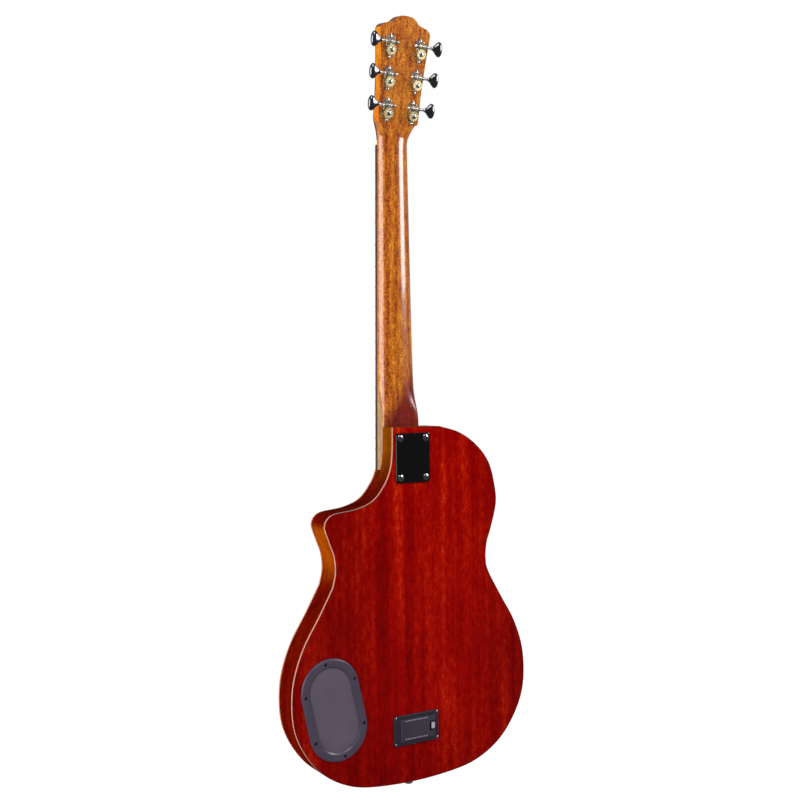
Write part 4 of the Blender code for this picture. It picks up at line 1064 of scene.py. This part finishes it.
def tunerCap():
    # The domed screw that holds the gear on its post.
    dome = [(0, -0.4), (3.2, -0.4), (3.2, 0.15), (2.9, 0.5), (2.2, 0.8), (1.2, 1.0), (0, 1.05)]
    cap = turnedOf([(r, gearTop + up) for r, up in dome], 32)
    return carved(cap, [boxOf((-0.45, -4, gearTop + 0.35), (0.45, 4, gearTop + 3))])


def makeTuners():
    # Strings 1 to 3 are on the treble side and 6 to 4 on the bass side, both from the nut up.
    makers = (
        ("plate", tunerPlate, wornChrome, "guitar", "chrome"), ("worm", tunerWorm, satinChrome, "tuner_worm", "chrome"),
        ("button", tunerButton, chromeWithPaintedShade, "tuner_worm", "chrome"), ("gear", tunerGear, brass, "tuner_gear", "brass"),
        ("post", tunerPost, chrome, "tuner_gear", "brass"), ("cap", tunerCap, wornChrome, "tuner_gear", "brass"),
    )
    toWorm = at(0, wormOffset, tuner["height"])
    for part, maker, finish, rides, slot in makers:
        for number, side, spot in zip((1, 2, 3, 6, 5, 4), (-1, -1, -1, 1, 1, 1), postSpots):
            place = headPlace() @ spot @ (toWorm if part in ("worm", "button") else Matrix.Identity(4))
            makePiece(
                f"tuner_{number}_{part}", placed(maker(), place @ Matrix.Scale(side, 4, (1, 0, 0))), finish,
                body=rides if rides == "guitar" else f"{rides}_{number}",
                replaces=[f"tuner_{part}_{number}"] if part in ("plate", "worm", "gear") else (),
                subdivision=int(part == "button"), angle=50 if part == "button" else 30,
            )

    # Bushings on the front of the head, each a washer and a six-sided collar round its post.
    front = -neck["headThick"] - neck["veneer"] - 0.3
    washer = [(3.3, 0), (6.0, 0), (6.0, 0.5), (5.6, 0.8), (3.3, 0.8), (3.3, 0)]
    collar = [(3.3, 0.7), (5.2, 0.7), (5.2, 2.4), (4.5, 2.9), (3.3, 2.9), (3.3, 0.7)]
    for number, spot in enumerate(postSpots, 1):
        rings = [turnedOf([(r, front - up) for r, up in ring], n) for ring, n in ((washer, 32), (collar, 6))]
        makePiece(f"post_bushing_{number}", placed(merged(*rings), headPlace() @ spot), chrome)


makeTuners()
print("tuners made")


# The bridge and the strings

bridge = {"saddleZ": 63, "saddleFront": 53.6, "pinZ": 48, "step": 10.8}


def makeBridge():
    bottom, saddleZ = body["depth"] + 0.02, bridge["saddleZ"]
    stations = [
        (76, 12, 3), (73, 12.2, 3.1), (64, 13, 3.6), (57, 14.4, 6.0), (50, 16, 8.2), (40, 17, 8.5), (30, 18, 8.7),
        (15, 20.2, 8.7), (0, 21, 8.7),
    ]
    stations = [(-x, belly, thick) for x, belly, thick in stations] + stations[-2::-1]
    rings = []
    for x, belly, thick in stations:
        low, high, top = saddleZ - 6 - belly, saddleZ + min(belly, 14), bottom + thick
        rings.append([
            (x, bottom, low), (x, bottom, high), (x, top - 1.5, high), (x, top - 0.5, high - 0.5), (x, top, high - 2),
            (x, top, low + 2), (x, top - 0.5, low + 0.5), (x, top - 1.5, low),
        ])
    slot = boxOf((-37, body["depth"] + 2, saddleZ - 1.6), (37, 60, saddleZ + 1.6))
    hole = [(0, 43), (2.2, 43), (3.2, 50), (0, 50)]
    pin = [(0, 44), (2.0, 44), (2.6, 49.3), (3.6, 49.4), (3.9, 50.2), (3.4, 51.4), (2.0, 52.3), (0, 52.6)]
    holes, pins = (
        [alongY(turnedOf(profile, sides), stringX(n, bridge["step"]), bridge["pinZ"]) for n in range(1, 7)]
        for profile, sides in ((hole, 16), (pin, 24))
    )
    whole = carved(skinOf(rings), [slot, *holes])
    makePiece("rosewood_bridge", whole, rosewood, replaces=["bridge"], angle=25)
    makePiece("bridge_pins", merged(*pins), bone)

    foot, half = body["depth"] + 2 + 0.3 + 1.2 + 0.3, 36.6
    rings = []
    for shift, drop in ((-1.5, 0.9), (-1.1, 0.35), (-0.5, 0), (0.5, 0), (1.1, 0.35), (1.5, 0.9)):
        z, crest = saddleZ + shift, bridge["saddleFront"] - drop
        rings.append([(half, foot, z), (-half, foot, z)] + [(x, crest - crown(x), z) for x in spanOf(half, 20)])
    makePiece("bone_saddle", skinOf(rings), bone, replaces=["saddle"])


def makeStrings():
    place = headPlace()
    for number, radius in enumerate(stringRadii, 1):
        side, (x, y) = (-1, posts[number - 1]) if number <= 3 else (1, posts[6 - number])
        atSaddle, atNut = (stringX(number, step) for step in (bridge["step"], neck["stringStep"]))
        nutY = neck["stringY"] - crown(atNut)
        route = [
            Vector((atSaddle, 49.3 + radius + 0.6, bridge["pinZ"] + 3.4)),
            Vector((atSaddle, bridge["saddleFront"] + 0.02 + radius - crown(atSaddle), bridge["saddleZ"])),
            Vector((atNut, nutY, neck["nutZ"] + 1)),
            Vector((atNut, nutY, neck["nutZ"] + neck["nutThick"])),
        ]
        # Three turns round the post's waist.
        wrap = 2.4 + radius
        for k in range(61):
            angle, drop = math.pi + 2 * math.pi * k / 20, min(2 * radius * k / 20, 2.2)
            around = (side * (x + wrap * math.cos(angle)), y - wrap * math.sin(angle), postTip + 6.9 - drop)
            route.append(place @ Vector(around))
        curve = bpy.data.curves.new(f"string_wire_{number}", "CURVE")
        curve.dimensions = "3D"
        curve.bevel_depth = radius * mm
        curve.bevel_resolution = 2
        curve.use_fill_caps = True
        spline = curve.splines.new("POLY")
        spline.points.add(len(route) - 1)
        for point, spot in zip(spline.points, route):
            point.co = (*(spot * mm + base), 1)
        curve.materials.append(plainSteel if number < 3 else woundString)
        wire = newObject(f"string_wire_{number}", curve)
        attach(wire, "guitar")
        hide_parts(f"string_{number}")


makeBridge()
makeStrings()
print("bridge and strings made")


# Fittings on the back

neckPlate = {"centreZ": 290, "wide": 51, "high": 64, "corner": 3.5, "front": -2.3, "spacing": (38.1, 50.8)}


def roundedCorners(wide, high, radius, y, centreZ, steps=6):
    points = []
    for turn, (sx, sz) in enumerate(((1, 1), (-1, 1), (-1, -1), (1, -1))):
        for k in range(steps + 1):
            angle = math.pi / 2 * (turn + k / steps)
            points.append((
                sx * (wide / 2 - radius) + radius * math.cos(angle), y,
                centreZ + sz * (high / 2 - radius) + radius * math.sin(angle),
            ))
    return points


def facingBack(x, y, z, turn):
    # The place of a screw head that looks out of the back, turned about its own axis.
    return at(x, y, z) @ Matrix.Rotation(math.pi / 2, 4, "X") @ Matrix.Rotation(turn, 4, "Z")


def makeNeckPlate():
    values = neckPlate
    line = roundedCorners(values["wide"], values["high"], values["corner"], values["front"], values["centreZ"])
    plate = rounded(slabOf(line, (0, 2.27, 0)), 0.9, 3, where=lambda c: c.y < -2)
    dx, dz = values["spacing"][0] / 2, values["spacing"][1] / 2
    spots = [(x, values["centreZ"] + z) for x in (-dx, dx) for z in (-dz, dz)]
    seats = [alongY(turnedOf([(0, -4), (4.9, -4), (4.9, -2.1), (2.9, 0.5), (0, 0.5)], 32), x, z) for x, z in spots]
    makePiece(
        "black_neck_plate", carved(plate, seats), blackLacquer, replaces=["neck_plate"], angle=12
    )
    for number, (x, z) in enumerate(spots, 1):
        head = [(0, 3.5), (1.6, 3.45), (3.0, 3.15), (4.1, 2.65), (4.5, 2.4), (2.2, 0.3), (2.2, -34), (0, -36)]
        screw = placed(carved(turnedOf(head, 32), recess(2.6, 0.8, 2.2, 5)), facingBack(x, 0, z, 0.5 + number))
        makePiece(f"neck_plate_screw_{number}", screw, screwChrome, replaces=[f"neck_screw_{number}"])


def makeOvalCover():
    # A moulded border with a rounded crest round a flat panel.
    front = cover["front"]
    bm = slabOf(stadium(cover["wide"], cover["high"], -0.02, 32), (0, front + 0.02, 0))
    rounded(bm, cover["round"], 4, where=lambda c: c.y < front + 0.1)
    panel = max((f for f in bm.faces if f.normal.y < -0.9), key=lambda f: f.calc_area())
    slope, sink = cover["slope"], cover["sink"]
    border = (cover["wide"] - cover["panelWide"]) / 2 - cover["round"] - slope
    bmesh.ops.inset_region(bm, faces=[panel], thickness=border, use_even_offset=True)
    bmesh.ops.inset_region(bm, faces=[panel], thickness=slope, depth=-sink, use_even_offset=True)
    rounded(bm, 0.7, 3, angle=12, where=lambda c: abs(c.y - front) < 0.01 or abs(c.y - front - sink) < 0.01)
    for face in bm.faces:
        face.material_index = 1
    max((f for f in bm.faces if f.normal.y < -0.9), key=lambda f: f.calc_area()).material_index = 0
    makePiece(
        "moulded_oval_cover", placed(bm, coverPlace()), [greyAbs, ringAbs], replaces=["oval_cover"],
        angle=10,
    )
    spots = enumerate(cover["screws"], 1)
    screws = [coverPlace() @ facingBack(x, cover["screwY"], z, 0.7 * number) for number, (x, z) in spots]
    makeScrews("cover_screw", screws, 1.9, 1.0, blackScrew)


def makeBatteryBox():
    values = battery
    lowX, highX, half, centreZ = values["lowX"], values["highX"], values["half"], values["centreZ"]
    line = roundedCorners(values["wide"], values["high"], 3, values["front"], centreZ)
    flange = rounded(slabOf(line, (0, 2.28, 0)), 0.8, 3, where=lambda c: c.y < -2)
    wall = values["wall"]
    box = boxOf((lowX - wall, -1, centreZ - half - wall), (highX + wall, values["floorY"], centreZ + half + wall))
    mouth = boxOf((lowX, -6, centreZ - half), (highX, values["floorY"] - wall, centreZ + half))
    place = at(values["hingeX"], values["hingeY"], centreZ)
    whole = carved(carved(flange, [box], "UNION"), [mouth, placed(rodOf(1.1, -half - 1.2, half + 1.2, 16), place)])
    makePiece("moulded_battery_frame", whole, darkAbs, replaces=["battery_frame"])
    spots = enumerate(values["screws"], 1)
    screws = [facingBack(x, values["front"], centreZ + z, 0.9 * number) for number, (x, z) in spots]
    makeScrews("battery_frame_screw", screws, 1.5, 0.5, chrome)

    # The door: a flat leaf on a round barrel, with a row of small ribs along each long edge.
    length, reach = highX - values["hingeX"] - 0.3, half - 0.3
    leaf = rounded(boxOf((0, -1.5, -reach), (length, 0.7, reach)), 0.3, 2, where=lambda c: c.y < -1 and c.x > 3)
    notch = boxOf((length - 9, -5, -6), (length + 2, 3, 6))
    side = [(0, -reach), (2.2, -reach), (2.5, -reach + 0.4), (2.5, reach - 0.4), (2.2, reach), (0, reach)]
    barrel = turnedOf(side, 24)
    pins = rodOf(0.8, -half - 0.8, half + 0.8, 16)
    door = carved(carved(leaf, [barrel, pins], "UNION"), [notch])
    makePiece(
        "battery_door_leaf", placed(door, place), doorAbs, body="battery_door", replaces=["battery_door"],
    )
    # The ribs are painted pale grey, as a painted highlight on their small bumps.
    ribs = []
    for z in (2.4 - reach, reach - 2.4):
        for x in [5 + k * 3.4 for k in range(10)]:
            ribs.append(rounded(boxOf((x, -1.9, z - 0.8), (x + 1.4, -1.4, z + 0.8)), 0.2, 1))
    makePiece("battery_door_ribs", placed(merged(*ribs), place), paintedHighlightAbs, body="battery_door")

    rest = place @ at(length - 3.6, 0, 0)
    arch = [(2.7 * math.cos(math.pi * k / 16), -1.0 - 1.5 * math.sin(math.pi * k / 16), -3.9) for k in range(17)]
    thumb = rounded(slabOf([(2.7, 0.3, -3.9), *arch, (-2.7, 0.3, -3.9)], (0, 0, 7.8)), 0.4, 2)
    tongue = boxOf((-3.0, -0.8, -5.7), (3.6, 0.7, 5.7))
    # The thumb is painted pale grey, as a painted highlight on its dome.
    for face in thumb.faces:
        face.material_index = 1
    latch = carved(thumb, [tongue], "UNION")
    makePiece(
        "battery_door_latch", placed(latch, rest), [darkAbs, paintedHighlightAbs], body="battery_latch", replaces=["battery_latch"],
    )


def makeControls():
    low, shaftEnd, fluteReach = body["depth"] + 0.6, topY - 0.3 - 7, 9.0
    profile = [(9.5, 0), (9.5, 0.8), (8.7, 1.2), (8.1, 10.2), (7.7, 10.9), (6.9, 11.4), (0, 11.5)]
    for number, spot in enumerate(knobSpots(), 1):
        knob = turnedOf([(0, shaftEnd), (3.1, shaftEnd), (3.1, low), *[(r, low + up) for r, up in profile]], 48)
        flutes = []
        for k in range(16):
            angle = 2 * math.pi * (k + 0.19) / 16
            place = at(fluteReach * math.cos(angle), fluteReach * math.sin(angle), 0)
            flutes.append(placed(rodOf(0.9, low + 1.8, low + 14, 10), place))
        mark = boxOf((-0.5, 3, low + 11.2), (0.5, 7.2, low + 11.53))
        name = f"knob_{number}"
        makePiece(
            f"fluted_knob_{number}", alongY(carved(knob, flutes), spot.x, spot.z), blackPlastic, body=name,
            replaces=[name],
        )
        makePiece(f"knob_mark_{number}", alongY(mark, spot.x, spot.z), creamAbs, body=name)


def makeJack():
    # A threaded barrel, the round nut on it and the washer under that.
    skin, tip = body["end"][1], jackTip
    top = skin + 29.5
    nut = [
        (3.3, 0.3), (3.6, 0), (4.5, 0), (4.8, 0.2), (4.8, 0.6), (5.3, 0.6), (5.8, 1.0), (5.8, 3.2), (5.4, 3.5),
        (5.4, 4.1), (5.8, 4.4),
    ]
    shell = turnedOf([
        *[(r, tip + up) for r, up in nut], (5.8, skin - 1.8), (5.5, skin - 1.5), (6.9, skin - 1.5), (7.2, skin - 1.3),
        (7.2, skin - 0.4), (6.0, skin - 0.4), (6.0, top - 1.5), (7.4, top - 1.5), (7.4, top + 10), (3.3, top + 10),
        (3.3, tip + 0.3),
    ], 40)
    placed(shell, at(0, body["depth"] / 2, 0))
    makePiece("turned_end_jack", shell, chrome, replaces=["end_jack"])


makeNeckPlate()
makeOvalCover()
makeBatteryBox()
makeControls()
makeJack()
print("fittings made")


# The pieces inside keep their solids and take a finish

inside = {
    "neck_block": rawMahogany, "tail_block": rawMahogany, "bridge_plate": rawMahogany, "back_brace_upper": rawSpruce,
    "back_brace_lower": rawSpruce, "top_x_brace": rawSpruce, "truss_rod": rodSteel, "saddle_pickup": rodSteel,
    "battery": batteryCase, "preamp_board": circuitBoard,
}
for name, finish in inside.items():
    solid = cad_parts[name]
    solid.data.materials.clear()
    solid.data.materials.append(finish)

print("all made")
